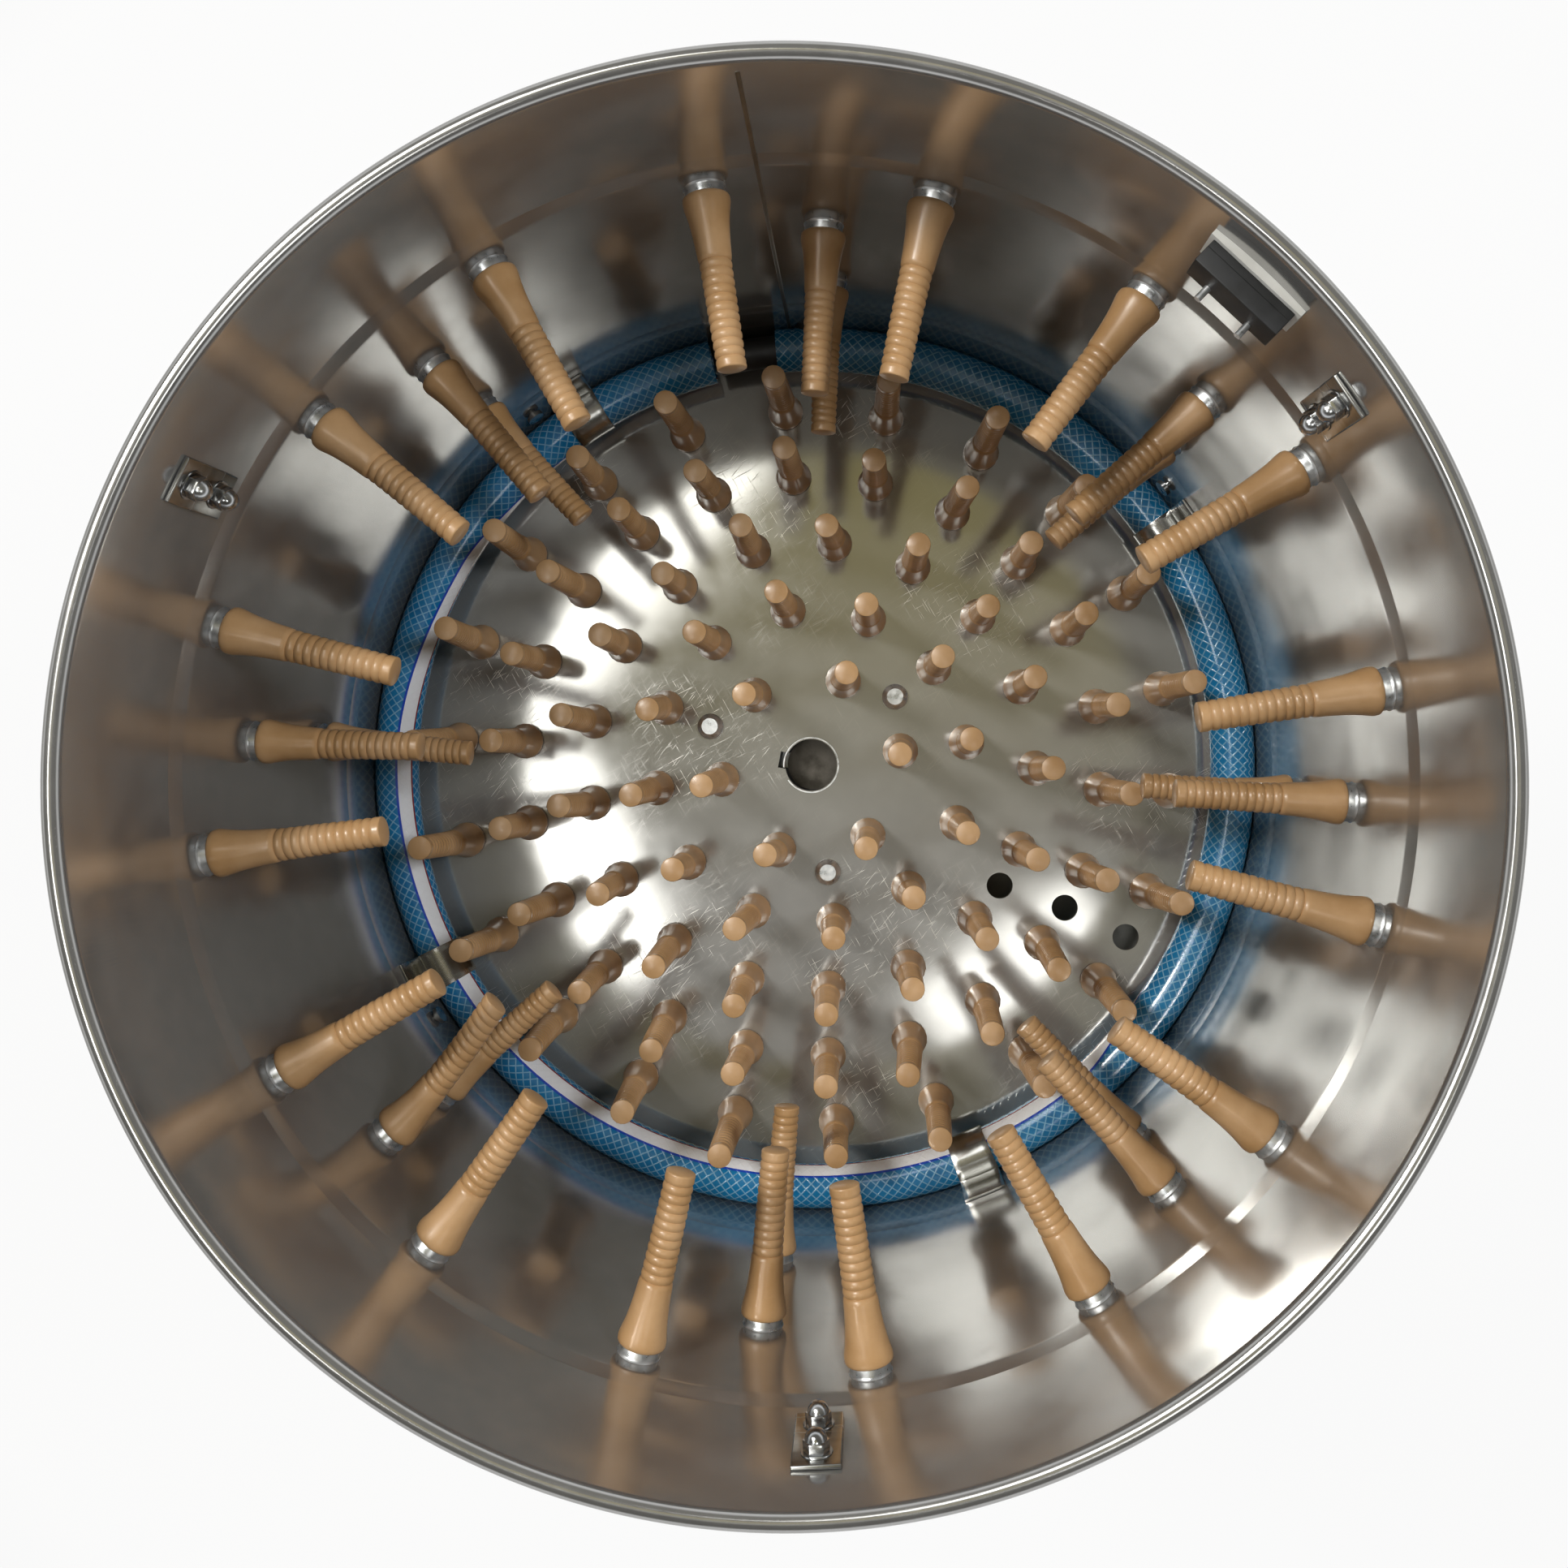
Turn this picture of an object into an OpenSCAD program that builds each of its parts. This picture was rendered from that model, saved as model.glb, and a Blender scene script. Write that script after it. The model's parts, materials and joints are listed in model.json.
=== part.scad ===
// Drum poultry plucker: open stainless drum with rubber fingers, a turning feather
// plate, a spray hose round the wall, and a belt drive in the skirt underneath.
// The origin is on the floor under the drum's axis. Sizes are in millimetres.

/* [Drum] */
// Inner radius of the drum
drum_r = 267; // [255:1:290]
// Sheet thickness of the drum, the skirt and the chute
sheet = 1.5; // [1:0.1:2.5]
// Height of the drum from its lower edge to the rim
drum_h = 390; // [380:1:450]
// Depth that the drum sits down inside the skirt
nest = 30; // [26:1:40]
// Diameter of the rolled rim
rim_d = 8; // [6:0.5:12]
// Depth of the feather plate below the rim
plate_drop = 345; // [330:1:355]
// Width of a pressed bead
bead_w = 11; // [8:0.5:14]
// Height of a pressed bead
bead_h = 1.2; // [0.8:0.1:2]
// Depth of the upper bead below the rim
bead_drop = 86; // [84:1:88]

/* [Fingers] */
// Length of a finger on the working side
finger_l = 83; // [75:1:88]
// Diameter of a finger's bell
bell_d = 22; // [20:0.5:24]
// Length of a finger's bell
bell_l = 8; // [6:0.5:10]
// Diameter of a finger's neck
neck_d = 16.3; // [15:0.1:17.5]
// Diameter of a finger where its ribs start
waist_d = 15.5; // [14:0.1:16.5]
// Diameter of a finger's tip
tip_d = 12.6; // [11:0.1:14]
// Number of ribs on a finger
rib_count = 10; // [6:1:11]
// Distance from rib to rib
rib_pitch = 4.4; // [4:0.1:4.8]
// Height of a rib
rib_h = 0.7; // [0.4:0.1:1]
// Diameter of a finger's head, behind the sheet
head_d = 28; // [26:0.5:30]
// Thickness of a finger's head
head_t = 5; // [4:0.5:6]
// Diameter of a finger hole
hole_d = 16; // [14:0.1:17]
// Length of the drawn flange round a hole in the wall
flange_l = 4.5; // [3:0.5:6]
// Wall thickness of the drawn flange
flange_t = 1.25; // [1:0.05:2]

/* [Wall fingers] */
// Number of finger groups round the wall
group_count = 8; // [6:1:8]
// Turn of the first group
group_turn = -3.2; // [-6:0.1:6]
// Turn of a side finger from its group's middle
side_turn = 11.2; // [9:0.1:12]
// Depth of the side fingers below the rim
upper_drop = 110; // [108:1:116]
// Depth of the middle finger below the side fingers
middle_step = 52; // [30:1:56]
// Clearance between the lowest wall fingers and the plate fingers
row_gap = 6; // [3:0.5:12]

/* [Feather plate] */
// Gap between the plate's edge and the wall
plate_gap = 16; // [12:0.5:20]
// Thickness of the plate
plate_t = 4; // [3:0.5:6]
// Radius of the inner finger ring
ring_first = 56; // [54:0.5:58]
// Distance of the outer finger ring from the plate's edge
ring_edge = 31; // [28:0.5:36]
// Radius of the circle of plate bolts
bolt_circle = 67; // [62:0.5:72]
// Diameter of a plate bolt
plate_bolt_d = 10; // [8:1:12]

/* [Hose] */
// Outer diameter of the spray hose
hose_d = 26; // [20:0.5:28]
// Wall thickness of the spray hose
hose_t = 3.5; // [2.5:0.1:4]
// Clearance between the hose and the plate
hose_lift = 5; // [3:0.5:10]
// Width of a hose clip
clip_w = 25; // [15:1:35]
// Thickness of a hose clip
clip_t = 1.2; // [0.8:0.1:2]
// Height of a clip's leg above the hose
clip_leg = 22; // [18:1:24]
// Outer diameter of the water inlet
inlet_d = 16; // [12:0.5:18]

/* [Skirt] */
// Height of the skirt's lower edge above the floor
stand_h = 90; // [84:1:120]
// Height of the skirt
shell_h = 410; // [400:1:460]
// Radial gap between the drum and the skirt
shell_gap = 0.5; // [0.3:0.1:1]
// Height of the feather pan above the skirt's lower edge
pan_h = 250; // [245:1:260]
// Width of the feather outlet
outlet_w = 260; // [200:1:280]
// Height of the feather outlet
outlet_h = 98; // [70:1:104]
// Reach of the chute and of the controls from the skirt
reach = 96; // [85:1:120]
// Fall of the chute's floor
chute_fall = 25; // [10:1:40]
// Width of the base ring's flange
base_ring_w = 60; // [56:1:70]
// Thickness of the base ring
base_ring_t = 4; // [3:0.5:6]

/* [Wheels and feet] */
// Diameter of a wheel
wheel_d = 75; // [60:1:78]
// Width of a wheel
wheel_w = 30; // [20:1:36]
// Diameter of a wheel's axle
axle_d = 10; // [8:0.5:14]
// Diameter of a foot post
post_d = 38; // [30:1:42]
// Turn of the wheels and feet from the X axis
stand_turn = 50; // [40:1:54]

/* [Handles] */
// Diameter of a handle's rod
handle_d = 10; // [8:0.5:12]
// Width of a handle between its arms
handle_w = 100; // [80:1:130]
// Drop of a handle below its pins
handle_drop = 62; // [45:1:90]
// Height of a handle's pins above the skirt's lower edge
handle_h = 330; // [280:1:350]

/* [Drive] */
// Diameter of the main shaft
shaft_d = 32; // [28:1:35]
// Depth of the shaft's end below the plate's top
shaft_recess = 25; // [10:1:30]
// Width of a key
key_w = 10; // [6:1:12]
// Height of a key
key_h = 8; // [6:1:10]
// Width of a cross beam
beam_w = 40; // [30:1:44]
// Height of a cross beam
beam_h = 40; // [38:1:50]
// Distance of a cross beam from the axis
beam_x = 145; // [142:1:160]
// Thickness of the drive plate
drive_t = 8; // [6:1:12]
// Pitch radius of the pulley on the main shaft
pulley_r = 110; // [95:1:112]
// Pitch radius of the motor's pulley
motor_pulley_r = 22; // [20:1:28]
// Thickness of the belt
belt_t = 9; // [7:0.5:10]
// Width of the belt
belt_w = 13; // [10:0.5:14]
// Distance of the motor's axis from the main shaft
motor_y = 165; // [158:1:170]
// Outer radius of the motor's frame
motor_r = 66; // [58:1:70]
// Length of the motor's frame
motor_l = 130; // [110:1:140]
// Diameter of the motor's shaft
motor_shaft_d = 19; // [14:1:20]
// Outer diameter of a bearing
bearing_d = 65; // [62:1:72]
// Width of a bearing
bearing_w = 17; // [14:1:20]
// Diameter of a bearing's balls
ball_d = 9.5; // [7:0.5:10]
// Length of the bearing housing
housing_l = 110; // [90:1:120]

/* [Controls] */
// Width of the control box
box_w = 110; // [90:1:140]
// Height of the control box
box_h = 130; // [120:1:135]
// Wall thickness of the control box
box_t = 3; // [2:0.5:5]
// Travel of a button
button_travel = 4; // [2:0.5:5]
// Inner diameter of the cable gland
gland_d = 9; // [6:0.5:11]

/* [Hidden] */
$fn = 96;

// Clearances: a running fit, a seat, a hole round a fastener, a gap between bodies
fit = 0.05;
seat = 0.2;
hole_gap = 0.2;
body_gap = 1;
// Length by which a cutting shape passes the face that it cuts
over = 1;

// Heights
drum_z0 = stand_h + shell_h - nest;
rim_z = drum_z0 + drum_h;
shell_z1 = stand_h + shell_h;
plate_z1 = rim_z - plate_drop;
plate_z0 = plate_z1 - plate_t;
upper_z = rim_z - upper_drop;
middle_z = upper_z - middle_step;
lower_z = plate_z1 + finger_l + bell_d / 2 + row_gap;
hose_z = plate_z1 + hose_lift + hose_d / 2;
clip_z1 = hose_z + hose_d / 2 + clip_leg;
lower_bead_z = clip_z1 + bead_w / 2 + 1;
pan_z = stand_h + pan_h;
beam_z1 = pan_z - sheet;
beam_z0 = beam_z1 - beam_h;
drive_z0 = beam_z0 - drive_t;

// Radii
drum_ro = drum_r + sheet;
shell_r = drum_ro + shell_gap;
shell_ro = shell_r + sheet;
plate_r = drum_r - plate_gap;
hole_r = hole_d / 2;
hose_rc = drum_r - 0.3 - hose_d / 2;
shaft_r = shaft_d / 2;

// Finger rings on the plate: how many fingers each has and how far it is turned
ring_counts = [6, 12, 17, 22, 22];
ring_turns = [9, 8.4, -0.8, -4.8, -4.1];
ring_last = plate_r - ring_edge;
ring_step = (ring_last - ring_first) / (len(ring_counts) - 1);
// Rings that have a spare hole, one and a half places back from their first finger
spare_rings = [2, 3, 4];
spare_back = 1.5;
plate_bolt_angles = [for (k = [0 : 2]) ring_turns[0] + 30 + 120 * k];

// Wall brackets, lid switch, hose clips and inlet, by their angle round the drum
bracket_angles = [33.5, 153.5, 273.5];
switch_angle = 46;
clip_angles = [38, 128, 214, 298];
inlet_angle = 90;

// Skirt bolts
skirt_bolt_d = 8;
skirt_bolt_angles = [30 : 60 : 330];
skirt_bolt_zs = [drum_z0 + nest / 2, stand_h + base_ring_t + 18];
bolt_head_r = 7.5;
bolt_head_h = 5.5;
seat_ring_w = 14;
seat_ring_t = 6;
ring_leg = 34;

// Wall brackets
bracket_w = 20;
bracket_h = 42;
bracket_t = 2;
bracket_z = rim_z - 51;
bracket_bolt_d = 6;
bracket_bolt_step = 22;
lug_t = 3;
lug_reach = 26;
lug_hole_d = 9;
lug_z = bracket_z - bracket_h / 2;
lug_hole_x = drum_ro + seat + lug_reach - 12;
nut_r = 5.5;
nut_h = 5;
dome_r = 4.6;

// Lid switch
switch_w = 42;
switch_h = 15;
switch_t = 10.5;
switch_z = rim_z - 27;
switch_pad_t = 2.5;
switch_back = drum_r - switch_pad_t - 1;
switch_pad_edge = 2;
switch_screw_d = 3;
switch_screw_step = 21;
switch_screw_drop = 4;
switch_screw_out = 6;

// Hose clip screws and inlet
clip_screw_d = 5;
clip_screw_z = clip_z1 - clip_leg / 2;
clip_span = clip_w / drum_r * 180 / PI;
clip_top_v = 5;
clip_low_v = -4;
tee_span = 9;
barb_span = 8;
tee_r = hose_d / 2 - 1;
tee_bore_r = 5.5;
barb_r = hose_d / 2 - hose_t - 0.1;
inlet_l = 46;
inlet_neck_r = inlet_d / 2 + 1;
inlet_nut_r = inlet_neck_r + 6;
inlet_nut_h = 8;
inlet_neck_out = 10;

// Turning column
hub_r = shaft_r + 14;
hub_flange_t = 8;
hub_l = 73;
hub_arm_w = 24;
hub_z0 = plate_z0 - hub_flange_t - hub_l;
shaft_z1 = plate_z1 - shaft_recess;
key_turn = 170;
sweep_gap = 5;
sweep_ring_t = 10;
sweep_ring_h = 20;
paddle_t = 4;
paddle_count = 3;
sweep_r = plate_r - 1;
upstand_r = shaft_r + 4.5;
upstand_z1 = hub_z0 - 12;

// Pulleys and belt
pulley_lift = 10;
lip_t = 4;
lip_h = 1.5;
belt_gap = 0.4;
pulley_h = belt_w + 2 * belt_gap + 2 * lip_t;
pulley_z0 = beam_z0 + pulley_lift;
pulley_hub_r = shaft_r + 16;
belt_lean = asin((pulley_r - motor_pulley_r) / motor_y);

// Bearings and their housing
bearing_r = bearing_d / 2;
ball_rc = (bearing_r + shaft_r) / 2;
ball_count = 9;
race_gap = 2.6;
housing_r = bearing_r + 11;
housing_flange_r = housing_r + 34;
housing_flange_t = 10;
housing_bolt_r = housing_r + 18;
housing_z0 = drive_z0 - housing_l;
housing_lip = 5;
bearing_zs = [housing_z0, drive_z0 - bearing_w];
shoulder_r = shaft_r + 4;
shaft_z0 = housing_z0 - 10;

// Motor
motor_shaft_r = motor_shaft_d / 2;
fin_h = 8;
fin_count = 24;
shield_t = 10;
shield_r = motor_r + fin_h;
motor_z1 = drive_z0 - shield_t;
motor_z0 = motor_z1 - motor_l;
motor_wall = 6;
stator_r = motor_r - motor_wall - seat;
rotor_r = motor_r * 0.6;
stack_l = motor_l - 40;
stack_z0 = motor_z0 + 20;
fan_cover_h = 38;
fan_h = 12;
fan_blades = 7;
motor_bolt_r = motor_r - 2;
drive_bolt_d = 8;

// Drive plate and the bolts that hold it to the beams
drive_y0 = -housing_flange_r - 5;
drive_y1 = motor_y + shield_r;
drive_bolt_ys = [drive_y0 + 30, drive_y1 - 80];
beam_t = 3;

// Wheels and feet
stand_rc = shell_r - seat - base_ring_w / 2;
stand_x = stand_rc * cos(stand_turn);
stand_y = stand_rc * sin(stand_turn);
cheek_t = 4;
fork_t = 4;
fork_w = 46;
pad_h = 20;
pad_floor = 8;
pad_wall = 8;

// Handles
lug_plate_t = 6;
pin_stand = handle_d / 2 + 11;
pin_x = shell_ro + pin_stand;
handle_z = stand_h + handle_h;
handle_bend = 14;
lug_edge = 7;
lug_back = 20;

// Controls
cover_t = 3;
button_proud = 24;
box_y1 = shell_ro + reach - button_proud - cover_t;
cover_y1 = box_y1 + cover_t;
box_z0 = shell_z1 - box_h - 30;
button_step = 56;
start_z = box_z0 + box_h / 2 + button_step / 2;
stop_z = box_z0 + box_h / 2 - button_step / 2;
stem_r = 8;
stem_gap = 0.4;
stem_l = 20;
block_w = 34;
block_l = 34;
start_r = 12;
stop_r = 20;
cap_t = 8;
boss_r = 5;
boss_in = 7;
cover_screw_d = 3.5;
cover_screw_l = 16;
screw_hole_l = cover_screw_l + 2;
box_back = 40;
gland_y = shell_ro + 40;
gland_r = gland_d / 2 + 3.5;
gland_hex_r = gland_r + 4;
gland_up = 10;
gland_down = 20;

// Colours
stainless = "#b9bab6";
zinc = "#a5a8aa";
rubber_tan = "#b98f63";
black = "#1e1f21";
iron_grey = "#5c6063";
motor_blue = "#3d5a73";

// Shapes that repeat

// Ring of rectangular section that stands on z = 0
module tube(ro, ri, h) {
    rotate_extrude() translate([ri, 0]) square([ro - ri, h]);
}

// Rod along +X
module rod_x(r, x0, x1) {
    translate([x0, 0, 0]) rotate([0, 90, 0]) cylinder(r = r, h = x1 - x0);
}

// Rod along +Y
module rod_y(r, y0, y1) {
    translate([0, y0, 0]) rotate([-90, 0, 0]) cylinder(r = r, h = y1 - y0);
}

// Hexagon along +X
module hex_x(r, x0, x1) {
    translate([x0, 0, 0]) rotate([0, 90, 0]) cylinder(r = r, h = x1 - x0, $fn = 6);
}

// Box given by its lowest and highest corners
module block(lo, hi) {
    translate(lo) cube(hi - lo);
}

// Copies at given angles round the axis, lifted to z
module round_at(angles, z = 0) {
    for (a = angles) {
        rotate(a) translate([0, 0, z]) children();
    }
}

// Mirrored pair, left and right
module pair_x() {
    children();
    mirror([1, 0, 0]) children();
}

// Copies on the inner wall at angle a and height z, with +Z pointing to the axis
module on_wall(a, z) {
    rotate(a) translate([drum_r, 0, z]) rotate([0, -90, 0]) children();
}

// A copy at every finger in the wall
module at_wall_fingers() {
    for (g = [0 : group_count - 1]) {
        a = group_turn + g * 360 / group_count;
        on_wall(a - side_turn, upper_z) children();
        on_wall(a + side_turn, upper_z) children();
        on_wall(a, middle_z) children();
        on_wall(a, lower_z) children();
    }
}

// A copy at every finger on the plate
module at_plate_fingers() {
    for (k = [0 : len(ring_counts) - 1]) {
        for (j = [0 : ring_counts[k] - 1]) {
            rotate(ring_turns[k] + j * 360 / ring_counts[k])
                translate([ring_first + k * ring_step, 0, plate_z1]) children();
        }
    }
}

// Rubber finger on +Z. The sheet that holds it lies from -grip_out to grip_in.
module finger(grip_in, grip_out) {
    rib_z0 = finger_l - rib_count * rib_pitch - 2;
    rib_fall = (waist_d - tip_d) / 2 / rib_count;
    grip_r = hole_r - fit;
    bell_r = bell_d / 2;
    ribs = [
        for (k = [0 : rib_count - 1]) for (crest = [0, 1])
            [waist_d / 2 - rib_fall * k - (1 - crest) * rib_h, rib_z0 + (k + crest / 2) * rib_pitch]
    ];
    rotate_extrude() polygon(concat(
        [
            [0, -grip_out - head_t],
            [head_d / 2, -grip_out - head_t],
            [head_d / 2, -grip_out],
            [grip_r, -grip_out],
            [grip_r, grip_in],
            [bell_r - 1, grip_in],
            [bell_r, grip_in + bell_l * 0.3],
            [bell_r - 0.5, grip_in + bell_l * 0.7],
            [(bell_r + neck_d / 2) / 2, grip_in + bell_l],
            [neck_d / 2 + 0.5, grip_in + bell_l * 1.5],
            [neck_d / 2, grip_in + bell_l * 2]
        ],
        ribs,
        [
            [tip_d / 2 - rib_h, rib_z0 + rib_count * rib_pitch],
            [tip_d / 2 - rib_h, finger_l - 1],
            [tip_d / 2 - rib_h - 1, finger_l],
            [0, finger_l]
        ]
    ));
}

// Cut for the main shaft and its key, upward from z = 0
module keyed_bore(h) {
    cylinder(r = shaft_r + fit, h = h);
    rotate(key_turn)
        block([0, -key_w / 2 - fit, 0], [shaft_r + key_h / 2 + fit, key_w / 2 + fit, h]);
}

// Half-section of a pressed bead that swells outward at height z
module bead_bump(z, grow) {
    bend_r = (bead_w * bead_w / 4 + bead_h * bead_h) / (2 * bead_h);
    translate([drum_r + bead_h - bend_r, z]) circle(r = bend_r + grow);
}

// Section of the drum's wall with its rolled rim and beads
module drum_outline() {
    rim_r = rim_d / 2;
    bead_zs = [rim_z - bead_drop, lower_bead_z];
    difference() {
        union() {
            translate([drum_r, drum_z0]) square([sheet, drum_h - rim_r]);
            intersection() {
                for (z = bead_zs) bead_bump(z, sheet);
                translate([drum_r, drum_z0]) square([sheet + bead_h, drum_h]);
            }
            translate([drum_r + rim_r, rim_z - rim_r]) circle(r = rim_r);
        }
        for (z = bead_zs) bead_bump(z, 0);
        translate([drum_r + rim_r, rim_z - rim_r]) circle(r = rim_r - sheet);
    }
}

// Drum and what its wall holds

module drum() color(stainless) difference() {
    union() {
        rotate_extrude() drum_outline();
        at_wall_fingers() translate([0, 0, -sheet / 2])
            cylinder(r = hole_r + flange_t, h = sheet / 2 + flange_l);
    }
    at_wall_fingers() translate([0, 0, -2 * sheet])
        cylinder(r = hole_r, h = 2 * sheet + flange_l + over);
    round_at(skirt_bolt_angles, skirt_bolt_zs[0])
        rod_x(skirt_bolt_d / 2 + hole_gap, drum_r - over, drum_ro + over);
    bracket_bolt_places()
        rod_x(bracket_bolt_d / 2 + hole_gap, drum_r - over, drum_ro + over);
    round_at(clip_angles, clip_screw_z)
        rod_x(clip_screw_d / 2 + hole_gap, drum_r - over, drum_ro + over);
    switch_screw_places()
        rod_x(switch_screw_d / 2 + hole_gap, drum_r - 2 * over, drum_ro + over);
    round_at([inlet_angle], hose_z)
        rod_x(inlet_neck_r + hole_gap, drum_r - over, drum_ro + over);
}

module wall_fingers() color(rubber_tan)
    at_wall_fingers() finger(flange_l + fit, sheet + fit);

// A copy at each bolt of the wall brackets
module bracket_bolt_places() {
    for (side = [-0.5, 0.5]) {
        round_at(bracket_angles, bracket_z + side * bracket_bolt_step) children();
    }
}

// A copy at each screw of the lid switch
module switch_screw_places() {
    rotate(switch_angle) for (side = [-0.5, 0.5]) {
        translate([0, side * switch_screw_step, switch_z - switch_screw_drop]) children();
    }
}

// Inner face of the backing plates, which lie flat across the curved wall
function bracket_x() = sqrt(drum_r * drum_r - bracket_w * bracket_w / 4) - fit;

module bracket_plates() color(stainless) difference() {
    round_at(bracket_angles, bracket_z)
        block([bracket_x() - bracket_t, -bracket_w / 2, -bracket_h / 2],
              [bracket_x(), bracket_w / 2, bracket_h / 2]);
    bracket_bolt_places()
        rod_x(bracket_bolt_d / 2 + hole_gap, bracket_x() - bracket_t - over, bracket_x() + over);
}

module cap_nuts() color(zinc) bracket_bolt_places() {
    face = bracket_x() - bracket_t;
    difference() {
        union() {
            hex_x(nut_r, face - nut_h, face);
            translate([face - nut_h, 0, 0]) sphere(r = dome_r);
        }
        rod_x(bracket_bolt_d / 2 + fit, face - nut_h, face + over);
    }
}

module lid_lugs() color(stainless) difference() {
    x0 = drum_ro + seat;
    round_at(bracket_angles) {
        block([x0, -bracket_w / 2, lug_z], [x0 + lug_t, bracket_w / 2, lug_z + bracket_h]);
        block([x0, -bracket_w / 2, lug_z], [x0 + lug_reach, bracket_w / 2, lug_z + lug_t]);
    }
    bracket_bolt_places()
        rod_x(bracket_bolt_d / 2 + hole_gap, x0 - over, x0 + lug_t + over);
    round_at(bracket_angles, lug_z - over)
        translate([lug_hole_x, 0, 0]) cylinder(r = lug_hole_d / 2, h = lug_t + 2 * over);
}

module lug_bolts() color(zinc) bracket_bolt_places() {
    face = drum_ro + seat + lug_t;
    rod_x(bracket_bolt_d / 2, bracket_x() - bracket_t - nut_h + fit, face + over);
    hex_x(nut_r, face, face + 4);
}

module lid_switch_pad() color("#e9e9e6") difference() {
    edge = switch_pad_edge;
    intersection() {
        rotate(switch_angle)
            block([switch_back, -switch_w / 2 - edge, switch_z - switch_h / 2 - edge],
                  [drum_r + over, switch_w / 2 + edge, switch_z + switch_h / 2 + edge]);
        translate([0, 0, switch_z - switch_h])
            cylinder(r = drum_r - fit, h = 2 * switch_h, $fn = 720);
    }
    switch_screw_places()
        rod_x(switch_screw_d / 2 + hole_gap, switch_back - 1, drum_r + 2);
}

module lid_switch() color(black) difference() {
    rotate(switch_angle)
        block([switch_back - switch_t, -switch_w / 2, switch_z - switch_h / 2],
              [switch_back, switch_w / 2, switch_z + switch_h / 2]);
    switch_screw_places()
        rod_x(switch_screw_d / 2 + hole_gap, switch_back - switch_t - over, switch_back + over);
}

module lid_switch_screws() color(zinc) switch_screw_places() {
    end = switch_back - switch_t - switch_screw_out;
    rod_x(switch_screw_d / 2, end, drum_ro + 2);
    rod_x(switch_screw_d, drum_ro + fit, drum_ro + 2.5);
}

// Spray hose

module hose_ring() color("#2a7ea6")
    translate([0, 0, hose_z]) rotate(inlet_angle + tee_span / 2)
        rotate_extrude(angle = 360 - tee_span) translate([hose_rc, 0]) difference() {
            circle(r = hose_d / 2);
            circle(r = hose_d / 2 - hose_t);
        }

// Bent round bar of radius r about the inlet's angle, along the hose's centre line
module hose_arc(r, span) {
    rotate(inlet_angle - span / 2)
        rotate_extrude(angle = span) translate([hose_rc, 0]) circle(r = r);
}

module hose_tee() color(black) translate([0, 0, hose_z]) difference() {
    union() {
        hose_arc(tee_r, tee_span);
        hose_arc(barb_r, tee_span + 2 * barb_span);
        rotate(inlet_angle) {
            rod_x(inlet_neck_r, hose_rc, drum_ro + inlet_neck_out);
            hex_x(inlet_nut_r, drum_ro + 2 * seat, drum_ro + inlet_nut_h);
            rod_x(inlet_d / 2, hose_rc, drum_ro + inlet_l);
        }
    }
    hose_arc(tee_bore_r, tee_span + 2 * barb_span + 1);
    rotate(inlet_angle) rod_x(tee_bore_r, hose_rc, drum_ro + inlet_l + over);
}

module clip_outline() {
    clear_r = hose_d / 2 + 0.15;
    wall_x = drum_r - 0.15;
    intersection() {
        translate([hose_rc, hose_z]) difference() {
            circle(r = clear_r + clip_t);
            circle(r = clear_r);
        }
        union() {
            translate([hose_rc - hose_d, hose_z + clip_low_v]) square([hose_d, 2 * hose_d]);
            translate([hose_rc, hose_z + clip_top_v]) square([wall_x - hose_rc, 2 * hose_d]);
        }
    }
    difference() {
        translate([wall_x - clip_t, hose_z + clip_top_v])
            square([clip_t, clip_z1 - hose_z - clip_top_v]);
        translate([hose_rc, hose_z]) circle(r = clear_r);
    }
}

module hose_clips() color(stainless) difference() {
    round_at(clip_angles) rotate(-clip_span / 2) rotate_extrude(angle = clip_span) clip_outline();
    round_at(clip_angles, clip_screw_z)
        rod_x(clip_screw_d / 2 + hole_gap, drum_r - clip_t - over, drum_r + over);
}

module clip_screws() color(zinc) round_at(clip_angles, clip_screw_z) {
    face = drum_r - 0.15 - clip_t - 0.1;
    rod_x(clip_screw_d, face - 2.5, face);
    rod_x(clip_screw_d / 2, face - 1, drum_ro + 5);
    hex_x(clip_screw_d, drum_ro + fit, drum_ro + 4);
}

// Skirt, base and feet

module base_shell() color(stainless) difference() {
    translate([0, 0, stand_h]) tube(shell_ro, shell_r, shell_h);
    block([-outlet_w / 2, -shell_ro - over, pan_z], [outlet_w / 2, 0, pan_z + outlet_h]);
    for (z = skirt_bolt_zs) {
        round_at(skirt_bolt_angles, z)
            rod_x(skirt_bolt_d / 2 + hole_gap, shell_r - over, shell_ro + over);
    }
}

module seat_ring() color(zinc) translate([0, 0, drum_z0 - seat_ring_t])
    tube(shell_r - seat, drum_r - seat_ring_w, seat_ring_t);

// Bolt and nut on +X that clamp what lies between inner and outer
module skirt_bolt(inner, outer) {
    rod_x(skirt_bolt_d / 2, inner - bolt_head_h - 2, outer + over);
    hex_x(bolt_head_r, outer + fit, outer + bolt_head_h);
    hex_x(bolt_head_r, inner - bolt_head_h - seat, inner - seat);
}

module shell_bolts() color(zinc) {
    round_at(skirt_bolt_angles, skirt_bolt_zs[0]) skirt_bolt(drum_r, shell_ro);
    round_at(skirt_bolt_angles, skirt_bolt_zs[1]) skirt_bolt(shell_r - seat - base_ring_t, shell_ro);
}

module base_ring() color(zinc) difference() {
    outer = shell_r - seat;
    translate([0, 0, stand_h]) {
        tube(outer, outer - base_ring_w, base_ring_t);
        tube(outer, outer - base_ring_t, ring_leg);
    }
    round_at(skirt_bolt_angles, skirt_bolt_zs[1])
        rod_x(skirt_bolt_d / 2 + hole_gap, outer - base_ring_t - over, outer + over);
}

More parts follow.
